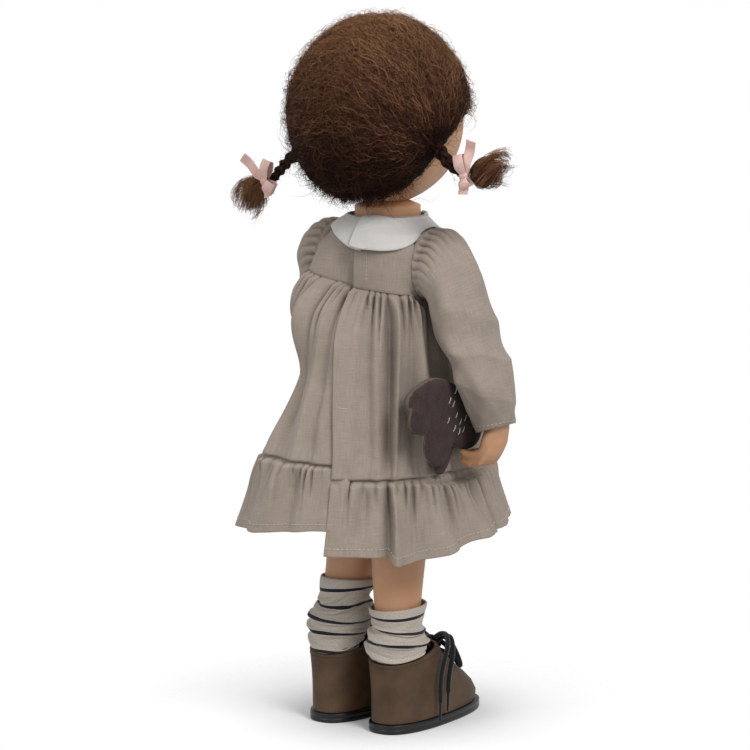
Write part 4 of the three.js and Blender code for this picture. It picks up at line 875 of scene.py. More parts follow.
def felt_material(name, dark, light):
    """Felt with matted fibres."""
    material = new_material(name, 0.97, Specular_IOR_Level=0.05, Sheen_Weight=0.05, Sheen_Roughness=0.6)
    place = coordinates(material, "Object")
    fibre = noise(material, place, 1400.0, 5.0, 0.7)
    cloud = noise(material, place, 160.0, 4.0)
    tone = math_node(material, "ADD", times(material, fibre, 0.6), times(material, cloud, 0.4))
    colour_by(material, tone, (0.35, dark), (0.65, light))
    bump(material, fibre, 0.5, 0.0004)
    return material


def thread_material(name, dark, light):
    """Sewing thread."""
    material = new_material(name, 0.8, Specular_IOR_Level=0.25)
    return speckled(material, 1500.0, 2.0, (0.35, dark), (0.65, light), 0.3, 0.0001)


def metal_material():
    """Nickel of the snap fasteners."""
    material = new_material("snap_metal", 0.32, Metallic=1.0)
    tones = (0.3, srgb(150, 152, 156)), (0.7, srgb(190, 192, 196))
    return speckled(material, 600.0, 3.0, *tones, 0.1, 0.0001)


def eye_material():
    """Brown iris with a dark pupil; the tone attribute is the distance from the eye's line of sight."""
    material = new_material("eye", 0.08, Specular_IOR_Level=0.6, Coat_Weight=0.5)
    tone = node(material, "Attribute", attribute_name="tone").outputs["Fac"]
    fibres = noise(material, coordinates(material, "Object"), 1800.0, 3.0)
    ragged = math_node(material, "ADD", tone, times(material, fibres, 0.04))
    pupil = (0.16, srgb(10, 9, 9))
    iris = (0.19, srgb(96, 66, 42)), (0.38, srgb(62, 40, 27))
    white = (0.41, srgb(236, 232, 226))
    colour_by(material, ragged, pupil, *iris, white)
    return material


MATERIALS = {
    "vinyl": vinyl_material(),
    "hair": hair_material("hair", srgb(16, 6, 3), srgb(60, 31, 18), srgb(146, 104, 72)),
    "ribbon": satin_material(),
    "clear_elastic": elastic_material(),
    "collar_cotton": cloth_material(
        "collar_cotton", srgb(188, 184, 180), srgb(200, 197, 193), srgb(210, 207, 204), 0.4, 0.3
    ),
    "dress_linen": cloth_material(
        "dress_linen", srgb(131, 119, 107), srgb(149, 136, 124), srgb(167, 154, 141), 0.4
    ),
    "snap_metal": metal_material(),
    "eye": eye_material(),
    "sock_knit": knit_material(),
    "boot_leather": leather_material(),
    "boot_sole": rubber_material(),
    "lace": cord_material(),
    "felt": felt_material("felt", srgb(48, 37, 36), srgb(72, 58, 56)),
}
EDGE_FELT = felt_material("felt_edge", srgb(74, 66, 58), srgb(98, 89, 79))
LIGHT_THREAD = thread_material("light_thread", srgb(150, 140, 128), srgb(196, 188, 176))
LINEN_THREAD = thread_material("linen_thread", srgb(170, 162, 150), srgb(206, 199, 188))
WHITE_THREAD = thread_material("white_thread", srgb(188, 188, 188), srgb(220, 220, 220))
BOOT_THREAD = thread_material("boot_thread", srgb(44, 34, 27), srgb(66, 52, 42))


def finished(piece, body, slot, *nodes, material=None):
    """Gives a piece its material, the one given or else the one named by slot, puts it on its body and hides
    the frame nodes it stands for.
    """
    piece.data.materials.clear()
    piece.data.materials.append(material or MATERIALS[slot])
    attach(piece, body)
    if nodes:
        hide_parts(*nodes)
    return piece


def stitched(name, body, slot, line, lifted, material, stitch):
    """A row of stitches along a dense line, raised along the directions in lifted."""
    pitch, length, radius = stitch
    steps = np.linalg.norm(np.diff(line, axis=0), axis=1)
    along = np.concatenate([[0], np.cumsum(steps)])
    starts = np.arange(0.4, along[-1] - length, pitch)
    shares = np.array([0, 0.25, 0.75, 1])
    rises = np.array([-0.16, 0.1, 0.1, -0.16])
    places = starts[:, None] + shares * length
    paths = np.stack([np.interp(places, along, line[:, i]) for i in range(3)], -1)
    raised = np.stack([np.interp(places, along, lifted[:, i]) for i in range(3)], -1)
    paths = paths + unit(raised) * rises[None, :, None]
    points, faces, uv = tubes(paths, np.array([0.5, 1, 1, 0.5]) * radius, 5, (0.3, 0.2, 0.9))
    return finished(mesh_object(name, points, faces, uv), body, slot, material=material)


# Laces


def foot_middle(side):
    """How far to the left a foot's middle is."""
    return STANCE[side]["out"] * SIDES[side]


def boot_outline(side, height, inset=0):
    """Half width, front and back of a boot at a height."""
    heel = STANCE[side]["back"]
    drawn_back = np.interp(height, BOOT[:, 0], BOOT[:, 1])
    half = np.interp(height, BOOT[:, 0], BOOT[:, 2]) - inset
    return half, heel - BOOT_LENGTH + drawn_back + inset, heel - inset


def boot_front(side, height):
    """How far forward the boot's front edge is at a real height, with the raised front counted."""
    heights = np.linspace(BOOT_BOTTOM, BOOT_TOP_BACK, 30)
    share = (heights - BOOT_BOTTOM) / (BOOT_TOP_BACK - BOOT_BOTTOM)
    lifted = heights + (BOOT_TOP_FRONT - BOOT_TOP_BACK) * share**3
    return np.interp(height, lifted, boot_outline(side, heights)[1])


def knot_place(side):
    """Where the laces are tied, in front of the boot."""
    return np.array([foot_middle(side), boot_front(side, KNOT_HEIGHT) - 3.2, KNOT_HEIGHT])


def from_knot(side, points):
    """Points given from the knot by out, forward and up, as places."""
    out, forward, up = np.array(points, float).T
    return knot_place(side) + np.stack([SIDES[side] * out, -forward, up], -1)


def over_front(side, height, out):
    """A place over the boot's sloping front, clear of the leather."""
    slope = (boot_front(side, height + 1) - boot_front(side, height - 1)) / 2
    lift = (LACE_RADIUS * 1.2 + 0.3) / math.hypot(1, slope)
    round_off = 1.2 * (out / LACE_HALF_ROW) ** 2
    return (foot_middle(side) + out, boot_front(side, height) + round_off - lift, height + slope * lift)


def lace_curve(name, points, body):
    """A loose lace as a round cord along a smooth line, with its length in metres."""
    line = line_through(points, len(points) * 8) / 1000 + AXIS
    curve = bpy.data.curves.new(name, "CURVE")
    curve.dimensions = "3D"
    curve.bevel_depth = LOOSE_LACE / 1000
    curve.bevel_resolution = 4
    curve.use_fill_caps = True
    spline = curve.splines.new("POLY")
    spline.points.add(len(line) - 1)
    spline.points.foreach_set("co", np.hstack([line, np.ones((len(line), 1))]).ravel())
    spline.use_smooth = True
    piece = finished(added(name, curve), body, "lace")
    return piece, line, float(np.linalg.norm(np.diff(line, axis=0), axis=1).sum())


def aglet(side, which):
    """The stiff end of a lace: a slim tube with a crimp, rounded at the tip."""
    points = from_knot(side, LACE_ENDS[which])
    along = unit(points[-1] - points[-2])
    shares = np.array([0, 0.04, 0.1, 0.14, 0.2, 0.24, 0.9, 0.97, 1])
    radii = LACE_RADIUS * np.array([0.9, 0.98, 0.98, 0.8, 0.8, 0.72, 0.62, 0.5, 0.1])
    path = points[-1] + along * (0.3 + shares[:, None] * AGLET)
    skin, faces, uv = tubes(path[None], radii[None], 12, (1, 0, 0))
    piece = mesh_object(f"lace_tip_{side}_{which}", skin, faces, uv)
    return finished(piece, f"{side}_leg", "lace", f"aglet_{side}_{which}")


def laces(side):
    """Rows across the tongue, the knot with its loops, and two hanging ends."""
    body = f"{side}_leg"
    spacing = (KNOT_HEIGHT - LOWEST_LACE - 3) / (LACE_ROWS - 1)
    heights = LOWEST_LACE + spacing * np.arange(LACE_ROWS)
    outs = np.linspace(-LACE_HALF_ROW, LACE_HALF_ROW, 9)
    shares = np.linspace(0, 1, 9)
    paths = [[over_front(side, height, out) for out in outs] for height in heights]
    for low, high in zip(heights[:-1], heights[1:]):
        for start in (-0.8 * LACE_HALF_ROW, 0.8 * LACE_HALF_ROW):
            crossing = [(mix(low, high, share), mix(start, -start, share)) for share in shares]
            paths.append([over_front(side, height, out) for height, out in crossing])
    last = over_front(side, heights[-1], 0)
    paths.append([mix(np.array(last), knot_place(side), share) for share in shares])
    points, faces, uv = tubes(np.array(paths), LACE_RADIUS, 10, (0.1, 0.3, 0.9))
    rows = mesh_object(f"lace_rows_{side}", points, faces, uv)
    stations = [(*(knot_place(side) + (out, 0, 0)), radius, radius) for out, radius in LACE_KNOT]
    knot = limb("knot", stations, 16, 14)
    bpy.context.view_layer.update()
    finished(joined(rows.name, [rows, knot]), body, "lace", f"lace_{side}")
    for which, route in LACE_LOOPS.items():
        loop, line, length = lace_curve(f"lace_loop_{side}_{which}", from_knot(side, route), body)
        if length > SHORT_LACE:
            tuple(line[0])
    for which, route in LACE_ENDS.items():
        end, line, length = lace_curve(f"lace_hanging_{side}_{which}", from_knot(side, route), body)
        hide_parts(f"lace_end_{side}_{which}")
        tip = aglet(side, which)
        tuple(line[0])


# Boots

# Directions round a boot, from the middle of its front back to there
BOOT_TURN = np.linspace(-math.pi / 2, 1.5 * math.pi, 160)


def boot_ring(side, height, inset, tilt, turn):
    """The boot's outline at a height, with its front raised by tilt."""
    half, front, back = boot_outline(side, height, inset)
    x = squared(np.cos(turn), BOOT_SQUARE[0]) * half
    y = (front + back) / 2 + squared(np.sin(turn), BOOT_SQUARE[1]) * (back - front) / 2
    return stacked(foot_middle(side) + x, y, height + tilt * (back - y) / (back - front))


def boot_rings(side, inset, bottom, top, rows, turn):
    """Outlines up a boot, the last of them with the whole rise of the boot's front."""
    rise = BOOT_TOP_FRONT - BOOT_TOP_BACK
    shares = np.linspace(0, 1, rows)
    return [boot_ring(side, mix(bottom, top, share), inset, rise * share**3, turn) for share in shares]


def boot_upper(side):
    """The leather upper, open at the top and slit down the front over the tongue."""
    outside = boot_rings(side, 0, BOOT_BOTTOM, BOOT_TOP_BACK, 70, BOOT_TURN)
    inside = boot_rings(side, BOOT_WALL, BOOT_BOTTOM + BOOT_WALL, BOOT_TOP_BACK, 40, BOOT_TURN)[::-1]
    rings = np.array(outside + inside)
    middle = foot_middle(side)
    slit = 2.6 * smooth(rings[..., 2], 20, 23) * (rings[..., 1] < 0)
    off = rings[..., 0] - middle
    columns = len(BOOT_TURN)
    way = np.where(np.arange(columns)[None, :] < columns / 2, 1, -1) * np.ones((len(rings), 1))
    rings[..., 0] = middle + way * np.maximum(np.abs(off), slit)
    step_y = STANCE[side]["back"] - BOOT_LENGTH + TOE_SEAM["step"]
    step = 0.35 * np.exp(-((rings[..., 1] - step_y) ** 2) / 0.5)
    rings[..., 2] -= step * (rings[..., 2] > 12)
    upper = surface(f"boot_upper_{side}", rings, closed_round=False)
    finished(upper, f"{side}_leg", "boot_leather", f"boot_{side}")
    boot_seams(side)


def boot_seams(side):
    """Stitches round the boot's rim and across the toe cap."""
    body, middle = f"{side}_leg", foot_middle(side)
    rim = np.array(boot_rings(side, -0.05, BOOT_BOTTOM, BOOT_TOP_BACK, 70, BOOT_TURN))[65, 6:-6]
    outward = rim - [middle, 0, 0]
    stitched(f"boot_rim_stitches_{side}", body, "boot_leather", rim, outward, BOOT_THREAD, BOOT_STITCH)
    seam_y = STANCE[side]["back"] - BOOT_LENGTH + TOE_SEAM["behind"]
    outs = np.cos(np.linspace(0, math.pi, 120)) * TOE_SEAM["half"]
    seam = stacked(middle + outs, seam_y, np.array([toe_height(side, seam_y, out) for out in outs]))
    upward = np.array([0, -0.3, 1.0]) + 0 * seam
    stitched(f"boot_toe_stitches_{side}", body, "boot_leather", seam, upward, BOOT_THREAD, BOOT_STITCH)


def toe_height(side, y, out):
    """The highest place of the boot's leather over a point of the sole near the toe."""
    best = 9
    for height in np.linspace(9, 32, 60):
        half, front, back = boot_outline(side, height)
        if y < front:
            break
        along = abs((y - (front + back) / 2) / ((back - front) / 2))
        narrowed = math.sqrt(max(0, 1 - along ** (1 / BOOT_SQUARE[1]) ** 2))
        if along < 1 and abs(out) < half * narrowed ** BOOT_SQUARE[0]:
            best = height
    return best


def tongue(side):
    """The padded tongue behind the laces, standing a little above the boot's rim."""
    columns, half = 30, 5
    turn = np.linspace(-math.pi / 2 - 0.34, -math.pi / 2 + 0.34, columns)
    front = np.array(boot_rings(side, BOOT_WALL + 0.6, SOLE + 8, BOOT_TOP_BACK + 4, 40, turn))[14:]
    front[..., 0] = foot_middle(side) + np.linspace(-half, half, columns)
    piece = surface(f"boot_tongue_{side}", front, closed_round=False)
    finished(thickened(piece, 1.1), f"{side}_leg", "boot_leather", f"tongue_{side}")


def sole(side):
    """A rubber sole with a rounded edge and a groove round its side."""
    columns = 200
    heel = STANCE[side]["back"] + WELT
    toe = STANCE[side]["back"] - BOOT_LENGTH - WELT
    turn = full_turn(columns)
    wide, long = squared(np.cos(turn), 0.8) * SOLE_HALF, squared(np.sin(turn), 0.85) * (heel - toe) / 2
    outline = stacked(wide, long)
    rings = []
    for height, share in SOLE_SIDE:
        ring = outline - unit(outline) * (1 - share) * SOLE_INSET + [foot_middle(side), (toe + heel) / 2]
        rings.append(stacked(ring[:, 0], ring[:, 1], height))
    piece = surface(f"boot_sole_{side}", np.array(rings), capped=True)
    finished(piece, f"{side}_leg", "boot_sole", f"sole_{side}")


# Legs and socks


def leg_middle(side, height):
    """Where the leg's middle is at a height: out from the doll's middle, and back."""
    stance = STANCE[side]
    keys = [ANKLE, KNEE, HIP["height"]]
    out = np.interp(height, keys, [stance["out"], stance["knee"][0], HIP["out"]])
    back = np.interp(height, keys, [stance["back"] - HEEL_TO_ANKLE, stance["knee"][1], HIP["back"]])
    return SIDES[side] * out, back


def leg(side):
    """Shin, thigh with the ball of the hip, and foot as one skin."""
    stations = [(*leg_middle(side, height), height, wide, deep) for height, wide, deep in LEG]
    shin = limb("shin", stations, 36, 60)
    hip = [(SIDES[side] * out, HIP["back"], HIP["height"], radius, radius) for out, radius in THIGH]
    thigh = limb("thigh", hip, 36, 40, (0, 0, 1))
    heel, ankle = STANCE[side]["back"], stations[-1][0]
    rings = [(ankle, heel - forward, height, half, tall) for forward, height, half, tall in FOOT]
    foot = limb("foot", rings, 28, 30, (0, 0, 1))
    skin = fused(f"leg_skin_{side}", [shin, thigh, foot], 1.0, 10)
    finished(skin, f"{side}_leg", "vinyl", f"leg_{side}")


def sock(side):
    """A slouched sock: a cuff band on top, wrinkles above the boot and a sheath down inside it."""
    top = SOCK_TOP[side]
    seed = SOCK_SEED[side]
    columns, rows = 220, 150
    turn = full_turn(columns)[None, :]
    height = np.linspace(SOCK_BOTTOM, top, rows)[:, None]
    edge = BOOT_TOP_BACK + (BOOT_TOP_FRONT - BOOT_TOP_BACK) * (1 - np.sin(turn)) / 2
    above = height - edge
    slouch = 3.4 * smooth(above, -1.5, 2.5) * (1 - smooth(height, top - 22, top))
    share = (height - SOCK_START) / (top - SOCK_START)
    fold = 1.1 * np.cos(4 * math.pi * share) * smooth(height, 31, 40)
    radius = SOCK_RADIUS + slouch + fold + 1.6 * smooth(height, 40, top)
    gathered = smooth(above, -4, 3) * (1 - smooth(height, top - 12, top - 5))
    swirl = ripple(seed, 1.5 * np.cos(turn) + 0.12 * height, 1.5 * np.sin(turn))
    wrinkle = np.sin(height * 1.05 + 2.2 * swirl + 1.4 * np.sin(turn * 2 + seed))
    crease = (1 - np.abs(wrinkle)) ** 2
    radius = radius + gathered * (0.9 * wrinkle - 1.1 * crease)
    fine = ripple(seed + 1, 5 * np.cos(turn) + 0.9 * height, 5 * np.sin(turn))
    radius = radius + 0.16 * fine * smooth(above, -2, 3)
    radius = radius + 0.45 * (1 - smooth(np.abs(height - (top - 5.2)), 4.6, 5.2))
    squeezed = 1 - smooth(above, -0.4, 2.2)
    radius = mix(radius, 9.9, squeezed)
    sway = 1.2 * np.cos(turn + height * 0.25) * smooth(height, SOCK_START + 8, SOCK_START + 20)
    hanging = 1.4 * smooth(above, 0.4, 2) * (1 - smooth(above, 2, 8))
    level = height + sway * smooth(above, 0, 6) + 0.5 * gathered * swirl - hanging
    x, y = leg_middle(side, height)
    rings = stacked(x + radius * np.cos(turn), y + (radius + 0.8) * np.sin(turn), level)
    stripe = height - top + 0.7 * swirl * gathered + 10 * STRIPE_STEP + STRIPE_START[side]
    piece = surface(f"sock_knitted_{side}", rings, uv=stacked(turn * SOCK_RADIUS, stripe))
    finished(thickened(piece, 0.9), f"{side}_leg", "sock_knit", f"sock_{side}")


# Head, wig and braids


def head_points(directions):
    """The head's surface in directions from its middle."""
    reach = 1 / np.linalg.norm(directions / HEAD_HALF, axis=-1, keepdims=True)
    point = directions * reach
    down = np.maximum(0, -point[..., 2] / HEAD_HALF[2])
    x = point[..., 0] * (1 - JAW_TAPER * down**2)
    y = np.where(point[..., 1] > 0, point[..., 1] * (1 - 0.12 * down**2), point[..., 1])
    z = point[..., 2]
    front = directions[..., 1] < 0
    level = z + HEAD_MIDDLE[2]

    def raised(at_x, at_z, size, height):
        return height * np.exp(-((x - at_x) ** 2 + (level - at_z) ** 2) / (2 * size * size)) * front

    for at_x, at_z, size, height in FACE_FORMS:
        for way in (-1, 1) if at_x else (1,):
            y = y - raised(way * at_x, at_z, size, height)
    for eye_x, _, eye_z in EYES.values():
        almond = lid_shape(x - eye_x, level - eye_z)
        lid = 0.7 * np.exp(-((almond - 1.2) ** 2) / 0.03)
        y = y + (3.0 * (1 - smooth(almond, 0.82, 1.06)) - lid) * front
    return stacked(x, y, z) + HEAD_MIDDLE


def lid_shape(x, z):
    """Share of the way from the eye's middle to the edge of its opening."""
    return np.sqrt((x / EYE_OPENING[0]) ** 2 + (z / EYE_OPENING[1]) ** 2)


def face_paint(points):
    """Colours painted on the vinyl for cheeks, lips, brows and lashes, and how thick the paint is."""
    x, y, z = points.T
    front = y < HEAD_MIDDLE[1] - 8
    colour = np.tile(np.array(srgb(188, 116, 96)), (len(points), 1))
    strength = 0.42 * sum(np.exp(-((x - at) ** 2 + (z - 266) ** 2) / 60) for at in (18, -18))
    lips = np.exp(-((np.abs(x) / 4.6) ** 4)) * np.exp(-(((z - 262.3) / 2.5) ** 4))
    colour[lips > 0.4] = srgb(166, 78, 72)
    strength = np.maximum(strength, 0.75 * lips)
    for at, _, level in EYES.values():
        arch = level + 10.2 - 0.05 * (x - at) ** 2
        brow = (np.abs(x - at) < 6) & (np.abs(z - arch) < 0.75)
        lash = (np.abs(lid_shape(x - at, z - level) - 1.03) < 0.07) & (z > level + 1)
        colour[brow | lash] = srgb(70, 44, 30)
        strength = np.where(brow, 0.7, np.where(lash, 0.9, strength))
    return colour, strength * front


def head():
    """Rings round the line of sight of the face, closest together near the nose."""
    nose = unit(np.array([0, -1, (FACE_FORMS[0][1] - HEAD_MIDDLE[2]) / HEAD_HALF[1]]))
    right = np.array([1.0, 0, 0])
    up = np.cross(right, nose)
    turn = full_turn(260)[None, :, None]
    opening = (0.004 + (math.pi - 0.008) * np.linspace(0, 1, 240) ** 1.3)[:, None, None]
    directions = nose * np.cos(opening) + np.sin(opening) * (right * np.cos(turn) + up * np.sin(turn))
    rings = head_points(directions)
    rings[..., 2] = np.maximum(rings[..., 2], HEAD_BOTTOM)
    piece = surface("head_vinyl", rings, capped=True)
    colour, strength = face_paint(rings.reshape(-1, 3))
    paint = piece.data.color_attributes.new("paint", "FLOAT_COLOR", "POINT")
    paint.data.foreach_set("color", colour.ravel())
    give_tone(piece.data, strength)
    finished(piece, "head", "vinyl", "head")
    for side, centre in EYES.items():
        eye(side, np.array(centre))


def eye(side, centre):
    """A glass eye with a slightly raised front, its rings counted from the line of sight."""
    rows, columns = 40, 48
    turn = full_turn(columns)[None, :]
    opening = np.linspace(0.01, math.pi - 0.01, rows)[:, None]
    directions = stacked(np.sin(opening) * np.cos(turn), -np.cos(opening), np.sin(opening) * np.sin(turn))
    rings = centre + EYE_RADIUS * directions
    rings[..., 1] -= 0.5 * (1 - smooth(opening, 0.1, 0.5))
    faces = grid_faces(rows, columns, True)
    tone = np.broadcast_to(opening / 1.3, (rows, columns))
    piece = mesh_object(f"eye_glass_{side}", rings, faces[:, ::-1], None, tone)
    finished(piece, "head", "eye", f"eye_{side}")


def hair_point(directions, height):
    """A point over the wig in unit directions of its oval, lifted by a height."""
    return HAIR_MIDDLE + directions * (HAIR_HALF + np.asarray(height)[..., None])


def sphere_path(start, end, steps):
    """Directions along the shortest way over the wig from each start to each end."""
    start, end = unit(start), unit(end)
    apart = np.arccos(np.clip((start * end).sum(-1), -1, 1))[:, None, None]
    share = np.linspace(0, 1, steps)[None, :, None]
    path = np.sin((1 - share) * apart) * start[:, None] + np.sin(share * apart) * end[:, None]
    return unit(path)


def wavy(paths, lifts, waves, curls):
    """Locks on paths over the wig: slow waves of (size, period, phase) and small curls of the same."""
    points = hair_point(paths, lifts)
    forward = unit(np.gradient(points, axis=1))
    outward = unit(paths / HAIR_HALF)
    flank = np.cross(forward, outward)
    steps = np.linalg.norm(np.diff(points, axis=1), axis=2)
    along = 2 * math.pi * np.concatenate([np.zeros((len(points), 1)), np.cumsum(steps, 1)], 1)
    wide, period, phase = waves
    small, short, second = curls
    side_wave = wide * np.sin(along / period + phase) + small * np.sin(along / short + second)
    out_wave = 0.35 * wide * np.sin(along / period + second) + small * np.cos(along / short + second)
    return points + flank * side_wave[..., None] + outward * out_wave[..., None], flank, outward


def in_face(points, spare):
    """Which points lie where the wig is open for the face and the cheeks, with some room to spare."""
    across = points[..., 0] / (FACE_WINDOW["half_width"] + spare)
    up = (points[..., 2] - FACE_WINDOW["height"]) / (FACE_WINDOW["half_height"] + spare)
    window = (points[..., 1] < FACE_WINDOW["back"] + spare) & (across**2 + up**2 < 1)
    heights, places = zip(*HAIRLINE)
    cheek = points[..., 1] < np.interp(points[..., 2], heights, places) + spare
    return window | (cheek & (points[..., 2] > heights[0]) & (points[..., 2] < heights[-1]))


def hair_painted_light(directions):
    """Hair painted lighter at the crown as if lit from above, with painted shade darker towards the nape and
    into the hollows at the braids' roots.
    """
    painted_root_shade = 0
    for stations in BRAIDS.values():
        root = unit((np.array(stations["root"]) - HAIR_MIDDLE) / HAIR_HALF)
        painted_root_shade = painted_root_shade + np.exp(-(((directions - root) ** 2).sum(-1)) / 0.05)
    # Painted light: lighter towards the crown and darker towards the nape as if lit from above; painted shade
    # darkens the hollows at the braids' roots
    return 0.42 + 0.34 * directions[..., 2] - 0.3 * painted_root_shade


def hair_strips(name, points, across, widths, tones, body, *nodes):
    """Flat hairs with a tone at each point."""
    skin, faces = strips(points, across, widths)
    tone = np.repeat(np.broadcast_to(tones, points.shape[:2])[..., None], 2, 2)
    piece = mesh_object(name, skin, faces, None, tone)
    return finished(piece, body, "hair", *nodes)


def wig_strands(name, seed):
    """Locks from the middle of the head over both sides into the roots of the braids."""
    rng = np.random.default_rng(seed)
    count, steps, locks = HAIRS["layer"], 24, 300
    lock = rng.integers(0, locks, count)
    lean = np.radians(rng.uniform(-78, 150, locks))[lock] + rng.normal(0, 0.07, count)
    start = np.stack([rng.normal(0, 0.05, count), np.sin(lean), np.cos(lean)], -1)
    way = np.where(rng.random(locks) > 0.5, 1, -1)[lock]
    roots = {way: (np.array(BRAIDS[side]["root"]) - HAIR_MIDDLE) / HAIR_HALF for side, way in SIDES.items()}
    end = np.array([roots[w] for w in way]) + rng.normal(0, 0.06, (count, 3))
    paths = sphere_path(start, end, 60)
    first = (rng.uniform(-0.3, 0.66, locks)[lock] + rng.normal(0, 0.05, count)).clip(0, 0.8)
    last = (first + rng.uniform(0.25, 0.6, count)).clip(0, 1)
    share = first[:, None] + (last - first)[:, None] * np.linspace(0, 1, steps)
    index = share * 59
    low = index.astype(int).clip(0, 58)
    part = (index - low)[..., None]
    rows = np.arange(count)[:, None]
    paths = unit(paths[rows, low] * (1 - part) + paths[rows, low + 1] * part)
    tuck = np.sin(math.pi * np.linspace(0, 1, steps)) ** 0.6
    lumps = rng.uniform(-1.2, 1.5, locks)[lock][:, None]
    lifts = (lumps + rng.uniform(0, 1.3, (count, 1))) * tuck - 0.3 - 3.2 * smooth(share, 0.86, 1.0)
    waves = (
        rng.uniform(0.6, 2.2, locks)[lock][:, None],
        rng.uniform(9, 24, locks)[lock][:, None],
        rng.uniform(0, 2 * math.pi, locks)[lock][:, None] + rng.normal(0, 0.5, (count, 1)),
    )
    curls = (
        rng.uniform(0.05, 0.4, (count, 1)),
        rng.uniform(3, 7, (count, 1)),
        rng.uniform(0, 2 * math.pi, (count, 1)),
    )
    points, flank, outward = wavy(paths, lifts, waves, curls)
    across = unit(flank + outward * rng.uniform(-0.7, 0.7, (count, 1, 1)))
    widths = rng.uniform(0.12, 0.3, (count, 1)) * (0.2 + 0.8 * tuck)
    tones = hair_painted_light(paths) + rng.normal(0, 0.11, locks)[lock][:, None] + rng.normal(0, 0.15, (count, 1))
    kept = ~in_face(points, 0.5).any(1)
    hair_strips(name, points[kept], across[kept], widths[kept], tones[kept], "head")


def frizz():
    """Short crooked hairs lying over the locks."""
    rng = np.random.default_rng(90)
    count, steps = HAIRS["frizz"], 18
    directions = unit(rng.normal(0, 1, (count, 3)) + [0, 0.4, 0.1])
    base = hair_point(directions, rng.uniform(0, 1.2, count))
    outward = unit(directions / HAIR_HALF)
    side = np.sign(directions[:, :1]) * [1.0, 0, 0]
    heading = side * 0.7 + [0, 0, -0.8] + rng.normal(0, 0.7, (count, 3))
    heading = unit(heading - outward * (heading * outward).sum(-1, keepdims=True))
    flank = np.cross(outward, heading)
    share = np.linspace(0, 1, steps)[None, :, None]
    reach = rng.uniform(4, 16, (count, 1, 1))
    bend = rng.normal(0, 0.35, (count, 1, 1))
    curl = rng.uniform(0.3, 1.5, (count, 1, 1)) * np.minimum(1, share * 3)
    turns = rng.uniform(0.8, 3.4, (count, 1, 1)) * 2 * math.pi
    phase = rng.uniform(0, 2 * math.pi, (count, 1, 1))
    points = (
        base[:, None]
        + heading[:, None] * reach * share
        + flank[:, None] * (reach * bend * share**2 + curl * np.sin(turns * share + phase))
    )
    from_middle = (points - HAIR_MIDDLE) / HAIR_HALF
    level = rng.uniform(1.0, 1.035, (count, 1, 1)) + 0.016 * curl * np.cos(turns * share + phase)
    points = HAIR_MIDDLE + unit(from_middle) * HAIR_HALF * level
    across = unit(flank[:, None] + outward[:, None] * rng.uniform(-0.8, 0.8, (count, 1, 1)))
    across = np.broadcast_to(across, points.shape)
    widths = rng.uniform(0.09, 0.2, (count, 1)) * (1.05 - share[..., 0])
    tones = hair_painted_light(unit(from_middle)) + rng.normal(0.03, 0.13, (count, 1))
    kept = ~in_face(points, 0.5).any(1) & (points[..., 2] > nape_height(points[..., 1]) - 2).all(1)
    hair_strips("wig_frizz", points[kept], across[kept], widths[kept], tones[kept], "head")


def flyaways():
    """Fine curly hairs that stand off the wig, with some long loose curls."""
    rng = np.random.default_rng(8)
    count, steps = HAIRS["flyaway"], 22
    directions = unit(rng.normal(0, 1, (count, 3)) + [0, 0.45, 0.2])
    base = hair_point(directions, np.zeros(count))
    keep = (base[:, 2] > nape_height(base[:, 1]) + 2) & ~in_face(base, 3)
    directions, base = directions[keep], base[keep]
    count = len(base)
    outward = unit(directions / HAIR_HALF)
    heading = unit(np.cross(outward, rng.normal(0, 1, (count, 3))) + [0, 0, -0.3])
    flank = np.cross(outward, heading)
    share = np.linspace(0, 1, steps)[None, :, None]
    is_long = rng.random((count, 1, 1)) < 0.05
    reach = np.where(is_long, rng.uniform(14, 24, (count, 1, 1)), rng.uniform(4, 13, (count, 1, 1)))
    rise = np.where(is_long, rng.uniform(2.5, 6, (count, 1, 1)), rng.uniform(0.6, 4.6, (count, 1, 1)))
    curl = rng.uniform(0.4, 1.9, (count, 1, 1))
    turns = rng.uniform(0.6, 2.4, (count, 1, 1)) * 2 * math.pi
    phase = rng.uniform(0, 2 * math.pi, (count, 1, 1))
    turned, grown = turns * share + phase, curl * share
    points = (
        base[:, None]
        + heading[:, None] * reach * share
        + outward[:, None] * (rise * np.sin(math.pi * share**0.8) + grown * np.cos(turned))
        + flank[:, None] * grown * np.sin(turned)
    )
    sunk = np.linalg.norm((points - HAIR_MIDDLE) / HAIR_HALF, axis=-1, keepdims=True)
    points = HAIR_MIDDLE + (points - HAIR_MIDDLE) * np.maximum(1, 1 / sunk)
    tones = hair_painted_light(directions)[:, None] + rng.normal(0.12, 0.12, (count, 1))
    radii = rng.uniform(0.06, 0.12, (count, 1)) * (1.1 - share[..., 0])
    hair_tubes("wig_flyaways", points, radii, tones, 3, "head")


def hair_tubes(name, paths, radii, tones, sides, body, *nodes):
    """Round hairs with a tone each."""
    skin, faces, uv = tubes(paths, radii, sides, (0.2, 0.3, 0.9))
    tone = np.repeat(np.broadcast_to(tones, paths.shape[:2])[..., None], sides, 2)
    return finished(mesh_object(name, skin, faces, uv, tone), body, "hair", *nodes)


def nape_height(y):
    """How low the wig's lower edge is at a place from front to back."""
    return NAPE["height"] + NAPE["slope"] * (NAPE["back"] - y)


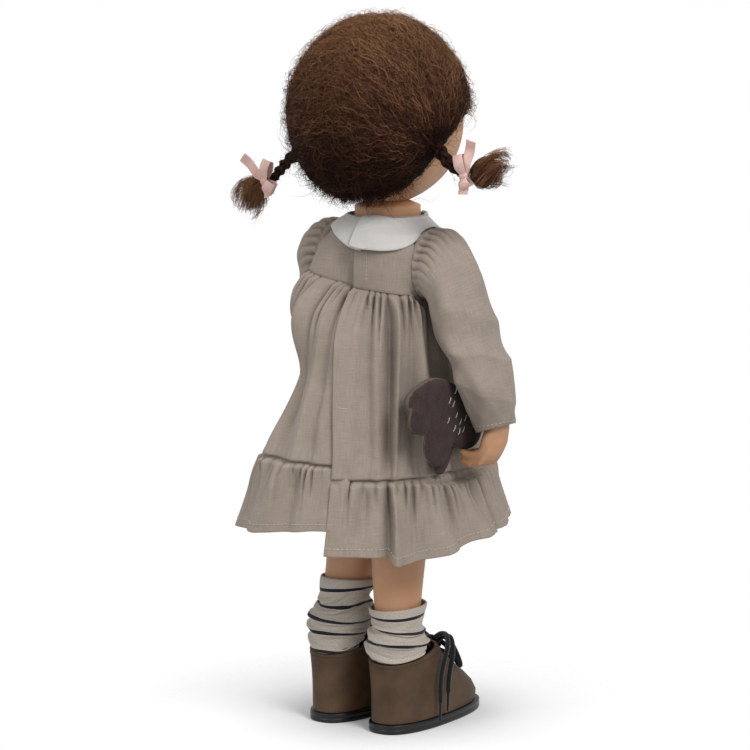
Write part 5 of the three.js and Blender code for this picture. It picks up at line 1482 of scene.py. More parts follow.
def nape_fringe():
    """Short reddish curls along the wig's lower edge, from ear to ear."""
    rng = np.random.default_rng(12)
    count, steps = HAIRS["nape"], 20
    around = np.radians(rng.uniform(-12, 192, count))[:, None]
    opening = np.linspace(1.2, 2.9, 120)[None]
    ring = np.sin(opening)
    spread = stacked(ring * np.cos(around), ring * np.sin(around), np.cos(opening))
    points = hair_point(spread, np.zeros(spread.shape[:2]))
    edge_height = nape_height(points[..., 1]) + rng.uniform(0, 9, (count, 1))
    edge = np.argmax(points[..., 2] < edge_height, axis=1)
    base = points[np.arange(count), edge]
    outward = unit((base - HAIR_MIDDLE) / HAIR_HALF**2)
    heading = unit(np.array([0, 0, -1.0]) + rng.normal(0, 0.5, (count, 3)) - outward * 0.35)
    flank = unit(np.cross(heading, outward))
    share = np.linspace(0, 1, steps)[None, :, None]
    reach = rng.uniform(3, 8.5, (count, 1, 1))
    curl = rng.uniform(0.5, 2.0, (count, 1, 1))
    turns = rng.uniform(0.6, 2.2, (count, 1, 1)) * 2 * math.pi
    phase = rng.uniform(0, 2 * math.pi, (count, 1, 1))
    paths = (
        base[:, None] - outward[:, None] * 0.8
        + heading[:, None] * reach * share
        + outward[:, None] * curl * share * np.cos(turns * share + phase)
        + flank[:, None] * curl * share * np.sin(turns * share + phase)
    )
    kept = ~in_face(paths, 1.0).any(1)
    radii = rng.uniform(0.06, 0.15, (count, 1)) * (1.15 - share[..., 0])
    tones = rng.normal(0.24, 0.1, (count, 1))
    hair_tubes("wig_nape_curls", paths[kept], radii[kept], tones[kept], 4, "head")


def wig_base():
    """The wig's cap under the locks, with its surface roughened into clumps and painted shade that makes it
    darker than the locks over it.
    """
    whole = fused("wig_cap", [copy_of("wig_cap", "wig")], 1.1, 8)
    points = points_of(whole)
    x, y, z = (points / 1000 + AXIS).T
    rough = ripple(3, x * 700, z * 700) + ripple(4, y * 900, z * 500)
    hidden = 0.24 * in_face(points, 0.6)
    points = HAIR_MIDDLE + (points - HAIR_MIDDLE) * (1 + 0.004 * rough - 0.006 - hidden)[:, None]
    move_points(whole, points)
    directions = unit((points - HAIR_MIDDLE) / HAIR_HALF)
    # Painted shade: the cap under the locks takes the hair's painted light, made darker still
    give_tone(whole.data, hair_painted_light(directions) - 0.16 + 0.06 * rough)
    finished(whole, "head", "hair", "wig")


def tie_frame(side):
    """Where a braid is tied, which way its hair leaves and which way is out to the back."""
    braid = BRAIDS[side]
    place = np.array(braid["knot"], float)
    along = unit(np.array(braid["tuft_bend"], float) - place)
    out = unit(np.array([0, 1.0, 0]) - along * along[1])
    return place, along, out


def braid(side):
    """Three strands plaited over each other from the wig to the tie, with loose hairs round them."""
    stations = BRAIDS[side]
    steps, sides = 90, 20
    root = np.array(stations["root"], float)
    inner = root + unit(HAIR_MIDDLE - root) * 3
    line = line_through([inner, root, stations["bend"], stations["knot"]], steps)
    forward = unit(np.gradient(line, axis=0))
    out = unit(np.array([0, 1.0, 0]) - forward * forward[:, 1:2])
    flank = np.cross(out, forward)
    share = np.linspace(0, 1, steps)
    size = mix(1.3, 0.62, share**0.8)
    turns = 2.8 * 2 * math.pi * share
    paths = []
    for strand in range(3):
        phase = turns + strand * 2 * math.pi / 3
        wide = 1.9 * size * np.sin(phase)
        deep = 1.15 * size * np.sin(2 * phase)
        paths.append(line + flank * wide[:, None] + out * deep[:, None])
    paths = np.array(paths)
    radii = 1.6 * size * (1 - 0.25 * smooth(share, 0.93, 1))
    skin, faces, uv = tubes(paths, radii, sides, (0, 0.3, 1))
    groove = 0.16 + 0.08 * np.sin(9 * full_turn(sides))[None, None] * np.ones((3, steps, 1))
    piece = mesh_object(f"braid_plaited_{side}", skin, faces, uv, groove)
    finished(piece, "head", "hair", f"braid_{side}")
    rng = np.random.default_rng(BRAID_SEED[side])
    braid_hairs(side, rng, paths, radii, flank, out)
    loose_hairs(side, rng, line, size, forward, flank, out)


def braid_hairs(side, rng, strands, radii, flank, out):
    """Flat hairs lying along the three strands of a braid."""
    steps = len(radii)
    paths = np.repeat(strands, HAIRS["strand"], 0)
    count = len(paths)
    turn = rng.uniform(0, 2 * math.pi, (count, 1, 1)) + np.linspace(0, 2, steps)[None, :, None]
    wander = 0.12 * np.sin(np.linspace(0, 30, steps)[None, :, None] + rng.uniform(0, 6, (count, 1, 1)))
    lift = radii[None, :, None] + rng.uniform(-0.12, 0.4, (count, 1, 1)) ** 2 * 2 + wander
    paths = paths + (flank[None] * np.cos(turn) + out[None] * np.sin(turn)) * lift
    across = unit(-flank[None] * np.sin(turn) + out[None] * np.cos(turn))
    tones = rng.normal(0.3, 0.14, (count, 1))
    widths = rng.uniform(0.14, 0.3, (count, 1))
    hair_strips(f"braid_hairs_{side}", paths[:, ::2], across[:, ::2], widths, tones, "head")


def loose_hairs(side, rng, line, size, forward, flank, out):
    """Short curled hairs standing off a braid."""
    count = HAIRS["loose"]
    at = rng.integers(0, 82, count)
    sideways, outward = flank[at], out[at]
    spread = sideways * rng.normal(0, 1.7, (count, 1)) + outward * rng.normal(0, 1.4, (count, 1))
    base = line[at] + spread * size[at][:, None]
    heading = unit(forward[at] + rng.normal(0, 0.6, (count, 3)))
    share = np.linspace(0, 1, 16)[None, :, None]
    turned = 7 * share + rng.uniform(0, 2 * math.pi, (count, 1, 1))
    curl = rng.uniform(0.3, 1.3, (count, 1, 1)) * share
    paths = base[:, None] + heading[:, None] * rng.uniform(2, 7, (count, 1, 1)) * share
    paths = paths + curl * (sideways[:, None] * np.cos(turned) + outward[:, None] * np.sin(turned))
    radii = rng.uniform(0.05, 0.1, (count, 1)) * (1.1 - share[..., 0])
    hair_tubes(f"braid_loose_{side}", paths, radii, rng.normal(0.4, 0.12, (count, 1)), 3, "head")


def elastic(side):
    """A clear band wound three times round the tied hair."""
    place, along, out = tie_frame(side)
    flank = np.cross(out, along)
    share = np.linspace(0, 1, 150)[:, None]
    turn = 3 * 2 * math.pi * share
    ring = TIED_HAIR + 0.8 + ELASTIC / 2 * 0.55
    path = place + along * (0.4 + ELASTIC * share) + (flank * np.cos(turn) + out * np.sin(turn)) * ring
    skin, faces, uv = tubes(path[None], 0.5, 8, along)
    finished(mesh_object(f"elastic_band_{side}", skin, faces, uv), "head", "clear_elastic", f"elastic_{side}")


def tuft(side):
    """The curly ends of the braid, in locks whose hairs differ a little from each other."""
    stations = BRAIDS[side]
    place, along, out = tie_frame(side)
    flank = np.cross(out, along)
    rng = np.random.default_rng(TUFT_SEED[side])
    count, steps, locks = HAIRS["tuft"], 30, 46
    lock = rng.integers(0, locks, count)

    def by_lock(low, high, differ):
        return (rng.uniform(low, high, locks)[lock] + rng.normal(0, differ, count))[:, None, None]

    share = np.linspace(0, 1, steps)[None, :, None]
    bend, end = np.array(stations["tuft_bend"], float), np.array(stations["tuft_end"], float)
    line = line_through([place, place + along * 2, bend, end], steps)[None]
    turn = by_lock(0, 2 * math.pi, 0.25)
    spread = (np.sqrt(rng.uniform(0, 1, locks))[lock] + rng.normal(0, 0.1, count)).clip(0, 1)[:, None, None]
    spread = spread * TUFT_RADIUS * 0.62
    opened = smooth(share, 0.05, 0.75)
    outward = flank * np.cos(turn) + out * np.sin(turn)
    base = line + outward * (TIED_HAIR * 0.8 * np.minimum(1, spread / 4) + spread * opened)
    reach = by_lock(0.62, 1.08, 0.05)
    base = place + (base - place) * mix(1, reach, share)
    curl = by_lock(2.0, 5.2, 0.15) * smooth(share, 0.15, 1.0)
    turns = by_lock(1.3, 3.0, 0.05) * 2 * math.pi
    turned = turns * share + by_lock(0, 2 * math.pi, 0.2)
    sideways = np.cross(outward, along)
    paths = base + (outward * np.cos(turned) + sideways * np.sin(turned)) * curl * 0.7
    paths = paths + along * curl * 0.6 * np.sin(turned)
    radii = rng.uniform(0.06, 0.14, (count, 1)) * (1.05 - 0.6 * share[..., 0])
    tones = rng.normal(0.62, 0.1, locks)[lock][:, None] + rng.normal(0, 0.08, (count, 1))
    tones = tones + 0.1 * share[..., 0]
    hair_tubes(f"tuft_curls_{side}", paths, radii, tones, 4, "head", f"tuft_{side}")


def ribbon(name, line, axes, centre, degrees):
    """A ribbon along a drawn line of (across, out), turned about the way out of the head."""
    across, out, along = axes
    steps = 40
    drawn = line_through(line, steps)
    angle = math.radians(degrees)
    rows = np.linspace(-0.5, 0.5, 13)
    cup = 0.25 * (1 - (2 * rows) ** 2)
    x = drawn[:, None, 0] + 0 * rows
    y = drawn[:, None, 1] + cup
    z = rows[None] * RIBBON_WIDTH * (0.55 + 0.45 * smooth(np.abs(drawn[:, 0]), 0.3, 4.5))[:, None]
    x, z = x * math.cos(angle) + z * math.sin(angle), -x * math.sin(angle) + z * math.cos(angle)
    points = centre + x[..., None] * across + y[..., None] * out + z[..., None] * along
    uv = stacked(rows[None] * RIBBON_WIDTH, np.linspace(0, 20, steps)[:, None])
    return thickened(surface(name, points, closed_round=False, uv=uv), 0.35)


def bow(side):
    """Satin ribbon tied over the elastic: two loops, two tails and the knot."""
    place, along, out = tie_frame(side)
    centre = place + out * (TIED_HAIR + 0.6 + ELASTIC + BOW_KNOT)
    axes = (np.cross(out, along), out, along)
    pieces = []
    for kind, drawn in (("loops", BOW_LOOP), ("tails", BOW_TAIL)):
        for reach, degrees in BOWS[side][kind]:
            line = [(share * reach, height) for share, height in drawn]
            pieces.append(ribbon(kind, line, axes, centre, degrees))
    knot = [(*(centre + along * at), radius * 1.1, radius) for at, radius in BOW_KNOT_RINGS]
    pieces.append(limb("bow_knot", knot, 20, 16))
    finished(joined(f"bow_satin_{side}", pieces), "head", "ribbon", f"bow_{side}")


# Dress


def yoke_point(angle, height, out):
    """A point of the yoke in a direction and at a height, moved out from it."""
    heights, wide_at, deep_at = YOKE[::-1].T
    wide = np.interp(height, heights, wide_at)
    deep = np.interp(height, heights, deep_at)
    square = 2 + 1.2 * smooth(NECKLINE - height, 0, 14)
    off = (np.degrees(angle) - LEFT_BULGE["direction"]) / LEFT_BULGE["spread"]
    bulge = LEFT_BULGE["out"] * np.exp(-off * off) * smooth(NECKLINE - height, 8, 28)
    oval = (np.abs(np.cos(angle) / wide) ** square + np.abs(np.sin(angle) / deep) ** square) ** (-1 / square)
    reach = oval + bulge + out
    lean = NECK_LEAN * smooth(height, 232, NECKLINE)
    return stacked(reach * np.cos(angle), reach * np.sin(angle) - lean, height)


def wrap_at(across, back_radius, height):
    """Direction of the wrapped cloth and how far it sinks where the panels lie over each other."""
    under = UNDERLAP / back_radius
    edge = math.pi / 2 + math.radians(EDGE_LEAN) * smooth(height, YOKE_END, SEAM_LINE[0][1])
    angle = edge + under - across * (2 * math.pi + under)
    return angle, LAYER_STEP * (1 - smooth(edge - angle, 0.12, 0.55))


def sleeve_rings(columns, rows):
    """Rings of a sleeve hanging on the left, gathered into the armhole and wrinkled at the elbow."""
    place = np.linspace(0, len(SLEEVE) - 1, rows)
    stations = through(np.arange(len(SLEEVE)), SLEEVE, place)[:, None]
    x, y, z, tilt, across, deep = np.moveaxis(stations, -1, 0)
    share = ((place - 1) / (place[-1] - 1)).clip(0, 1)[:, None]
    turn = full_turn(columns)[None, :]
    fold = 0.6 * smooth(share, 0, 0.25) * np.cos(5 * turn + 11 * share)
    pinch = 2 * np.abs(np.sin(12 * turn + ripple(51, 3 * np.cos(turn), 3 * np.sin(turn)))) ** 0.7 - 1
    on_top = smooth(-np.cos(turn), -0.5, 0.7)
    fold = fold + (0.3 + 0.8 * on_top) * pinch * (1 - smooth(share, 0.02, 0.22)) * smooth(share, 0, 0.02)
    slack = np.exp(-(((np.degrees(turn) - 135) / 45) ** 2)) * smooth(share, 0, 0.05)
    fold = fold - 2.6 * slack * (1 - smooth(share, 0.16, 0.36))
    tugged = 2.4 * np.cos(turn - 0.6) + ripple(52, 2 * np.cos(turn) + 6 * share, 2 * np.sin(turn))
    crease = 1 - 2 * np.abs(np.sin(0.5 * (11 * share * math.pi + tugged)))
    elbow = np.exp(-(((share - 0.55) / 0.22) ** 2))
    fold = fold + 1.0 * crease * elbow * (0.5 + 0.5 * np.cos(turn - 2.9))
    fold = fold + 0.4 * ripple(53, 5 * np.cos(turn) + 14 * share, 5 * np.sin(turn)) * smooth(share, 0.1, 0.3)
    fold = fold * (1 - 0.75 * smooth(share, 0.9, 1.0))
    tilt = np.radians(tilt)
    up = (across + fold) * np.cos(turn)
    back = y + (deep + fold) * np.sin(turn)
    return stacked(x - up * np.sin(tilt), back, z - up * np.cos(tilt))


def sideways_table():
    """How far out the dress may reach at each distance from the line through both shoulders."""
    rings = sleeve_rings(60, 90)[4:]
    reach = np.hypot(rings[..., 1], rings[..., 2] - SHOULDER).ravel()
    inner = rings[..., 0].ravel()
    distances = np.arange(0, 150.0)
    room = []
    for distance in distances:
        near = inner[np.abs(reach - distance) < 3]
        room.append(min(near.min() if len(near) else 200, 200))
    return distances, np.array(room)


SLEEVE_ROOM = sideways_table()


def held_clear(points):
    """The dress held clear of the sleeves, of the toy on its right side and of the hands."""
    reach = np.hypot(points[..., 1], points[..., 2] - SHOULDER)
    most = np.interp(reach, *SLEEVE_ROOM)
    toy = (points[..., 0] < 0) & (reach > TOY_REACH[0]) & (reach < TOY_REACH[1])
    most = np.where(toy, np.minimum(most, TOY_INNER), most)
    hand = (reach > HAND_REACH[0]) & (reach < HAND_REACH[1])
    most = np.where(hand, np.minimum(most, HAND_INNER - 0.6), most) - SWING_SPACE
    soft = 0.6
    out = np.abs(points[..., 0])
    held = np.sign(points[..., 0]) * (most - soft * np.logaddexp(0, (most - out) / soft))
    clear = points.copy()
    clear[..., 0] = np.where(out > most - 4, held, points[..., 0])
    return clear


def armhole_cut(points, radius):
    """Points inside the armholes moved out to their edge, where the cloth turns out to the sleeve."""
    away = np.hypot(points[..., 1], points[..., 2] - SHOULDER)
    inside = (np.abs(points[..., 0]) > 23) & (away < radius)
    moved = points.copy()
    scale = radius / np.maximum(away, 1e-6)
    moved[..., 1] = np.where(inside, points[..., 1] * scale, points[..., 1])
    moved[..., 2] = np.where(inside, SHOULDER + (points[..., 2] - SHOULDER) * scale, points[..., 2])
    out = np.abs(moved[..., 0])
    turned = smooth(out, 16, 23) * (1 - smooth(np.maximum(away, radius), radius, radius + LIP_WIDTH))
    turned = turned * (1 - smooth(moved[..., 2], SHOULDER + 8, SHOULDER + 14))
    moved[..., 0] = np.sign(moved[..., 0]) * np.where(out < LIP_END, mix(out, LIP_END, turned), out)
    return moved, ~inside


def torso_cloth(name, points, uv, keep=None):
    """A sheet of the dress that stays on the torso; the node's name is the first word of the piece's."""
    piece = surface(name, points, closed_round=False, uv=uv, keep=keep)
    return finished(thickened(piece, CLOTH), "torso", "dress_linen", name.split("_")[0])


def yoke():
    """The yoke wrapped once round the doll, with the placket's stitches at the back."""
    rows, columns = 100, 460
    down = np.linspace(0, 1, rows)[:, None]
    across = np.linspace(0, 1, columns)[None, :]
    angle, sink = wrap_at(across, YOKE_BACK, mix(NECKLINE, YOKE_END, down))
    bottom = table_line(YOKE_SEAM, np.degrees(angle)) - SEAM_LAP
    height = mix(NECKLINE, bottom, down)
    slope = smooth(NECKLINE - height, 0, 12)
    tug = 0.3 * ripple(61, 3 * angle, height / 6) * smooth(NECKLINE - height, 3, 12)
    tucked = 0.3 * smooth(height, bottom + 1.2, bottom)
    points = yoke_point(angle, height, -sink * slope + tug - tucked)
    points[..., 2] -= sink * (1 - slope)
    points, keep = armhole_cut(held_clear(points), ARMSCYE + 0.3)
    piece = torso_cloth("yoke_linen", points, stacked(across * WEAVE["yoke"], -height), keep)
    heights = np.linspace(241, 213.5, 80)
    edge = yoke_point(math.pi / 2 + PLACKET_STITCH / YOKE_BACK + 0 * heights, heights, 0.12)
    stitched(
        "placket_stitches", "torso", "dress_linen", edge, edge * [1, 1, 0], LINEN_THREAD, PLACKET_THREAD
    )


def collar(side):
    """Half of the flat collar, lapped at the middle of the back, with a row of stitches by its edge."""
    left = side == "left"
    rows, columns = 40, 240
    across = np.linspace(0, 1, columns)[None, :]
    down = np.linspace(0, 1, rows)[:, None]
    angle = np.radians(100 - across * 183 if left else 89 + across * 174)
    round_end = np.sqrt(np.maximum(0, 1 - smooth(across, 0.86, 1) ** 2))
    reach = down * (0.25 + 0.75 * round_end)
    edge = through(COLLAR_EDGE[:, 0], COLLAR_EDGE[:, 1:], np.degrees(angle))
    start = yoke_point(angle, NECKLINE, 0)
    neckline = np.hypot(start[..., 0], start[..., 1]) + 0.3
    out = mix(neckline, edge[..., 0], reach**0.9)
    height = mix(NECKLINE + COLLAR["lift"], edge[..., 1], reach**1.5)
    roll = 0.5 * np.sin(math.pi * np.minimum(1, reach * 3)) - 0.4 * smooth(down, 0.93, 1)
    ruffled = 0.3 * ripple(65, 4 * angle, 1.5 * down) * down
    over = (0 if left else COLLAR["overlap"]) * smooth(across, 0.3, 0.1)
    body = yoke_point(angle, height - 0.8, COLLAR["thickness"] + 0.5)
    out = np.maximum(out, np.hypot(body[..., 0], body[..., 1])) + ruffled + over * smooth(down, 0, 0.35)
    points = stacked(out * np.cos(angle), out * np.sin(angle), height + roll + over * 0.7)
    points[..., 0] = points[..., 0].clip(-LIP_END, LIP_END)
    wide, tall = WEAVE["collar"]
    uv = stacked(across * wide, reach * tall)
    piece = surface(f"collar_cotton_{side}", points, closed_round=False, uv=uv)
    finished(thickened(piece, COLLAR["thickness"]), "torso", "collar_cotton", f"collar_{side}")
    if not left:
        line = points[2:-2, int(columns * 0.1)]
        outward = line * [1, 1, 0]
        stitched("collar_stitches", "torso", "collar_cotton", line, outward, WHITE_THREAD, COLLAR_STITCH)


def plan_reach(angle, level):
    """Skirt half width in a direction at a level of the plan, on a smooth closed line."""
    count = len(SKIRT_PLAN)
    place = (angle / (2 * math.pi)) % 1 * count
    first = np.floor(place).astype(int)
    t = place - first
    before, low, high, after = (SKIRT_PLAN[(first + step) % count, level] for step in (-1, 0, 1, 2))
    return between(low, high, (high - before) / 2, (after - low) / 2, t)


def flat_back(angle):
    """The folds run out where the two panels lie over each other."""
    from_edge = angle - math.pi / 2 - math.radians(EDGE_LEAN)
    return 0.1 + 0.9 * smooth(np.abs(np.sin(from_edge / 2)), 0.02, 0.09)


def gathers(angle, depth, count, seed, longest):
    """Round puckers with sharp creases between them that hang from a gathered seam, each with its own
    length; depth is in millimetres below the seam."""
    phase = count * angle + 2.2 * ripple(seed, 9 * angle, 0 * angle)
    length = longest * (0.35 + 0.65 * (1 + np.sin(0.37 * count * angle + seed)) / 2)
    pucker = 2 * np.abs(np.sin(phase / 2)) ** 0.7 - 1
    return pucker * np.exp(-((depth / length) ** 2)) * smooth(depth, -0.4, 2.4)


def ridge(angle, share, top, bottom, width, height, skew):
    """A fold running down the skirt from one direction to another, steeper on one side."""
    centre = np.radians(mix(top, bottom, share))
    off = (angle - centre + math.pi) % (2 * math.pi) - math.pi
    off = off / math.radians(width)
    shape = np.exp(-(off**2))
    return height * shape * (1 + skew * np.tanh(2.5 * off))


# Folds that hang down the skirt: direction at the yoke and at the ruffle in degrees, width in degrees,
# height and lean
SKIRT_RIDGES = [
    (136.5, 131.5, 3.6, 3.4, -0.5),
    (128.5, 126, 3.4, -2.2, 0.3),
    (112, 117, 4.6, -2.4, 0.2),
    (121, 121.5, 3.6, 1.2, 0),
    (104, 108, 3.2, 1.0, 0),
    (146, 141, 4, -1.6, 0),
    (154, 153, 4, 1.8, -0.3),
    (166, 166, 5, -1.6, 0),
    (84, 86, 3.2, -1.8, 0.3),
    (77, 78, 3.2, 1.8, 0.2),
    (69, 66, 3.6, -2.2, -0.2),
    (60, 55, 3.6, 1.8, 0),
    (50, 46, 4, -2.0, 0),
    (42, 37, 4, 1.6, 0),
    (28, 24, 5, -1.6, 0),
]
# Folds of the ruffle: direction at the seam and at the hem, width, height and lean
RUFFLE_RIDGES = [
    (131, 131.5, 3.2, 3.8, -0.6),
    (127, 126.4, 3.0, -2.6, 0.4),
    (116, 113, 4, -1.8, 0),
    (109, 103, 4, 1.4, 0),
    (140, 143, 4.5, -2.0, 0),
    (149, 156, 5, 1.8, 0),
    (158, 168, 5, -2.4, 0),
    (170, 182, 5.5, 2.4, 0),
    (186, 197, 5, -2.6, 0),
    (84, 80, 4.5, -2.2, 0),
    (74, 66, 5, 2.0, 0),
    (60, 50, 5, -2.2, 0),
    (44, 36, 6, 2.0, 0),
]


def smooth_columns(values, keys, at):
    """Rows of values at rising keys joined by smooth lines, read between the first and last key."""
    slopes = np.gradient(values, keys, axis=0)
    total = 0
    for i in range(len(keys) - 1):
        span = keys[i + 1] - keys[i]
        share = (at - keys[i]) / span
        part = between(values[i], values[i + 1], slopes[i] * span, slopes[i + 1] * span, share)
        last = i == len(keys) - 2
        total = total + part * ((at >= keys[i]) & ((at < keys[i + 1]) | last))
    return total


def skirt_folds(angle, share):
    """How far the skirt's cloth stands out in its folds, at shares of the way down."""
    flat = flat_back(angle)
    quiet = 1 - 0.8 * smooth(np.abs(np.cos(angle)), 0.75, 1)
    fold = 0.9 * smooth(share, 0, 0.25) * np.cos(12 * angle + 0.6 * ripple(71, 3 * angle, 2 * share)) * quiet
    fold = fold + 0.6 * ripple(72, 15 * angle, 3 * share) * smooth(share, 0.05, 0.4)
    crossing = np.sin(9 * angle - 7 * share + 1.2 * ripple(76, 2 * angle, 2 * share))
    fold = fold + 0.8 * crossing * smooth(share, 0.15, 0.45) * (1 - smooth(share, 0.7, 0.95))
    fold = fold + 2.0 * gathers(angle, share * SKIRT_LENGTH, 50, 73, 25)
    fold = fold * flat
    shown = smooth(share, 0.0, 0.12) * (1 - 0.4 * smooth(share, 0.85, 1)) * (0.4 + 0.6 * flat)
    for fold_line in SKIRT_RIDGES:
        fold = fold + ridge(angle, share, *fold_line) * shown
    return fold + 0.5 * gathers(angle, (1 - share) * SKIRT_LENGTH, 84, 75, 7) * flat


def dress_point(angle, reach, height):
    """Points of the skirt or ruffle, held clear of the arms and the toy."""
    return held_clear(stacked(reach * np.cos(angle), reach * np.sin(angle), height))


def skirt():
    """The gathered skirt from under the yoke to the ruffle's seam."""
    rows, columns = 80, 620
    share = np.linspace(0, 1, rows)[:, None]
    across = np.linspace(0, 1, columns)[None, :]
    angle, sink = wrap_at(across, SKIRT_PLAN[2, 2], mix(SKIRT_TOP, SEAM_LINE[0][1], share))
    degrees = np.degrees(angle)
    top = table_line(YOKE_SEAM, degrees)
    height = mix(top, table_line(SEAM_LINE, degrees) + SEAM_SPACE, share)
    under_yoke = yoke_point(angle, top, 0)
    levels = [np.hypot(under_yoke[..., 0], under_yoke[..., 1])]
    levels += [plan_reach(angle, step) for step in range(3)]
    depth = share * SKIRT_LENGTH
    tucked = 1.5 * (1 - smooth(depth, 0.4, 2.4))
    plan = smooth_columns(np.stack(levels), SKIRT_SHARES, share)
    reach = plan + skirt_folds(angle, share) - sink - tucked
    points, keep = armhole_cut(dress_point(angle, reach, height), ARMSCYE + 1.1)
    piece = torso_cloth("skirt_linen", points, stacked(across * WEAVE["skirt"], depth), keep)
    bar = points[int(rows * BAR_STITCH), -15:-4]
    stitched("placket_bar", "torso", "dress_linen", bar, bar * [1, 1, 0], LINEN_THREAD, BAR_THREAD)


def ruffle():
    """The gathered ruffle from behind the skirt's edge to the hem."""
    rows, columns = 60, 800
    share = np.linspace(0, 1, rows)[:, None]
    across = np.linspace(0, 1, columns)[None, :]
    angle, sink = wrap_at(across, SKIRT_PLAN[2, 3], SEAM_LINE[0][1])
    degrees = np.degrees(angle)
    height = mix(table_line(SEAM_LINE, degrees) + RUFFLE_TUCK, table_line(HEM_LINE, degrees), share)
    flare = mix(plan_reach(angle, 2), plan_reach(angle, 3), share)
    depth = share * RUFFLE_LENGTH - RUFFLE_TUCK
    wobble = 0.8 * ripple(81, 5 * angle, 0 * angle)
    fold = 1.5 * (0.35 + 0.65 * share) * np.cos(9 * angle + 0.5 + wobble) * smooth(share, -0.2, 0.5)
    fold = fold + 1.0 * gathers(angle, depth, 31, 85, 46) * smooth(share, 0, 0.3)
    fold = fold + 1.8 * gathers(angle, depth, 66, 83, 16)
    fold = fold * flat_back(angle)
    fold = fold + skirt_folds(angle, 1 + 0 * share) * (1 - smooth(share, 0, 0.4))
    for fold_line in RUFFLE_RIDGES:
        fold = fold + ridge(angle, share, *fold_line) * smooth(share, 0.04, 0.45)
    tucked = 1.9 * (1 - smooth(depth, 0.2, 2.6))
    points = dress_point(angle, flare + fold - sink - tucked, height)
    piece = torso_cloth("ruffle_linen", points, stacked(across * WEAVE["ruffle"], depth))
    line = points[int(rows * 0.89)]
    outward = line * [1, 1, 0]
    line = line + unit(outward) * 0.05
    stitched("hem_stitches", "torso", "dress_linen", line, outward, LINEN_THREAD, HEM_STITCH)


def sleeve(side):
    """A sleeve with its cuff's stitches; the left one is turned forward with its arm."""
    columns, rows = 240, 180
    rings = sleeve_rings(columns, rows)
    if side == "right":
        rings = rings * [-1, 1, 1]
    else:
        rings = turned_forward(rings, LEFT_ARM_FORWARD)
        near = 1 - smooth(np.linspace(0, 1, rows), 0.02, 0.4)[:, None]
        rings = rings + LEFT_PUFF * near[..., None] * smooth(rings[..., 2:], 200, 236)
    around, along = WEAVE["sleeve"]
    across = np.linspace(0, around, columns, endpoint=False)[None, :]
    uv = stacked(across, np.linspace(0, along, rows)[:, None])
    piece = surface(f"sleeve_linen_{side}", rings, uv=uv)
    finished(thickened(piece, CLOTH), f"{side}_arm", "dress_linen", f"sleeve_{side}")
    row = rings[int(rows * 0.955)]
    line = np.vstack([row, row[:1]])
    outward = line - row.mean(0)
    stitched(f"cuff_stitches_{side}", f"{side}_arm", "dress_linen", line, outward, LINEN_THREAD, HEM_STITCH)


# Arms and torso


def fingers():
    """Four fingers curled in towards the body, each a little lower than the one before."""
    radius = FINGER["radius"]
    for i in range(4):
        y = FINGER["first"] + FINGER["spread"] * i
        reach = 0.5 - 0.3 * i
        line = [
            (59, y, 135, radius, radius),
            (56, y, 131.2 - reach, radius, radius),
            (50.6, y, 129.8 - reach, radius * 0.97, radius * 0.97),
            (HAND_INNER + 0.6, y, 130.8 - reach, radius * 0.8, radius * 0.8),
            (HAND_INNER, y, 131 - reach, radius * 0.35, radius * 0.35),
        ]
        yield limb("finger", line, 16, 26)


def arm(side):
    """Arm, palm, fingers and thumb as one skin with the shoulder's ball."""
    pieces = [limb("arm", ARM, 32, 60), limb("palm", PALM, 28, 20), limb("thumb", THUMB, 16, 16), *fingers()]
    for piece in pieces:
        points = points_of(piece)
        points[:, 2] += HAND_RAISED * (1 - smooth(points[:, 2], 138, 158))
        if side == "right":
            move_points(piece, points * [-1, 1, 1])
            piece.data.flip_normals()
        else:
            move_points(piece, turned_forward(points, LEFT_ARM_FORWARD))
    pieces.append(copy_of("shoulder", f"arm_{side}"))
    skin = fused(f"arm_skin_{side}", pieces, 0.75, 5)
    finished(skin, f"{side}_arm", "vinyl", f"arm_{side}")


def torso():
    """The body's vinyl skin, with the neck filled out below the head."""
    skin = fused("torso_skin", [copy_of("torso_skin", "torso")], 1.1, 12)
    points = points_of(skin)
    height = points[:, 2]
    wider = NECK_FILL * smooth(height, 236, 242) * (1 - smooth(height, 249.4, 250.4))
    outside = np.hypot(points[:, 0], points[:, 1]) > NECK_HOLE
    points[:, :2] *= np.where(outside, 1 + wider, 1)[:, None]
    points[:, 1] -= NECK_LEAN * smooth(height, 234, 243)
    move_points(skin, points)
    finished(skin, "torso", "vinyl", "torso")


def snaps():
    """The snap fasteners keep the frame's own meshes."""
    for name in ("snap_stud_1", "snap_socket_1", "snap_stud_2", "snap_socket_2"):
        materials = frame["nodes"][name].data.materials
        materials.clear()
        materials.append(MATERIALS["snap_metal"])


# Toy fawn


def toy_part(name, stations, offset=0.0):
    """A stuffed felt form along stations of y, z, half thickness and half height."""
    line = [(TOY_MIDDLE + offset, y, z, thick, tall) for y, z, thick, tall in stations]
    return limb(name, line, 64, 90, (0, 0, 1), TOY_SQUARE)


def edged(piece, half):
    """Gives the faces that look up, down or outward along the toy's rim the lighter edge felt."""
    piece.data.materials.clear()
    piece.data.materials.append(MATERIALS["felt"])
    piece.data.materials.append(EDGE_FELT)
    middle = (TOY_MIDDLE / 1000) + AXIS[0]
    for polygon in piece.data.polygons:
        if abs(polygon.normal.x) < 0.55 and abs(polygon.center.x - middle) < half / 1000:
            polygon.material_index = 1


def toy_piece(piece, *nodes, half=4.6):
    """Gives a stuffed felt piece its felts, puts it on the arm it rides on and hides the frame nodes it
    stands for.
    """
    edged(piece, half)
    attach(piece, "right_arm")
    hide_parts(*nodes)


def toy_leg(name):
    """A felt leg that narrows and thins towards its foot."""
    top, foot, width, offset = TOY_LEGS[name]
    line = []
    for share, thick, narrowed in TOY_LEG_SECTION:
        y, z = mix(np.array(top, float), np.array(foot, float), share)
        line.append((TOY_MIDDLE + offset, y, z, thick, width * narrowed))
    return limb(f"fawn_leg_{name}", line, 48, 50, (0, 1, 0), TOY_SQUARE)


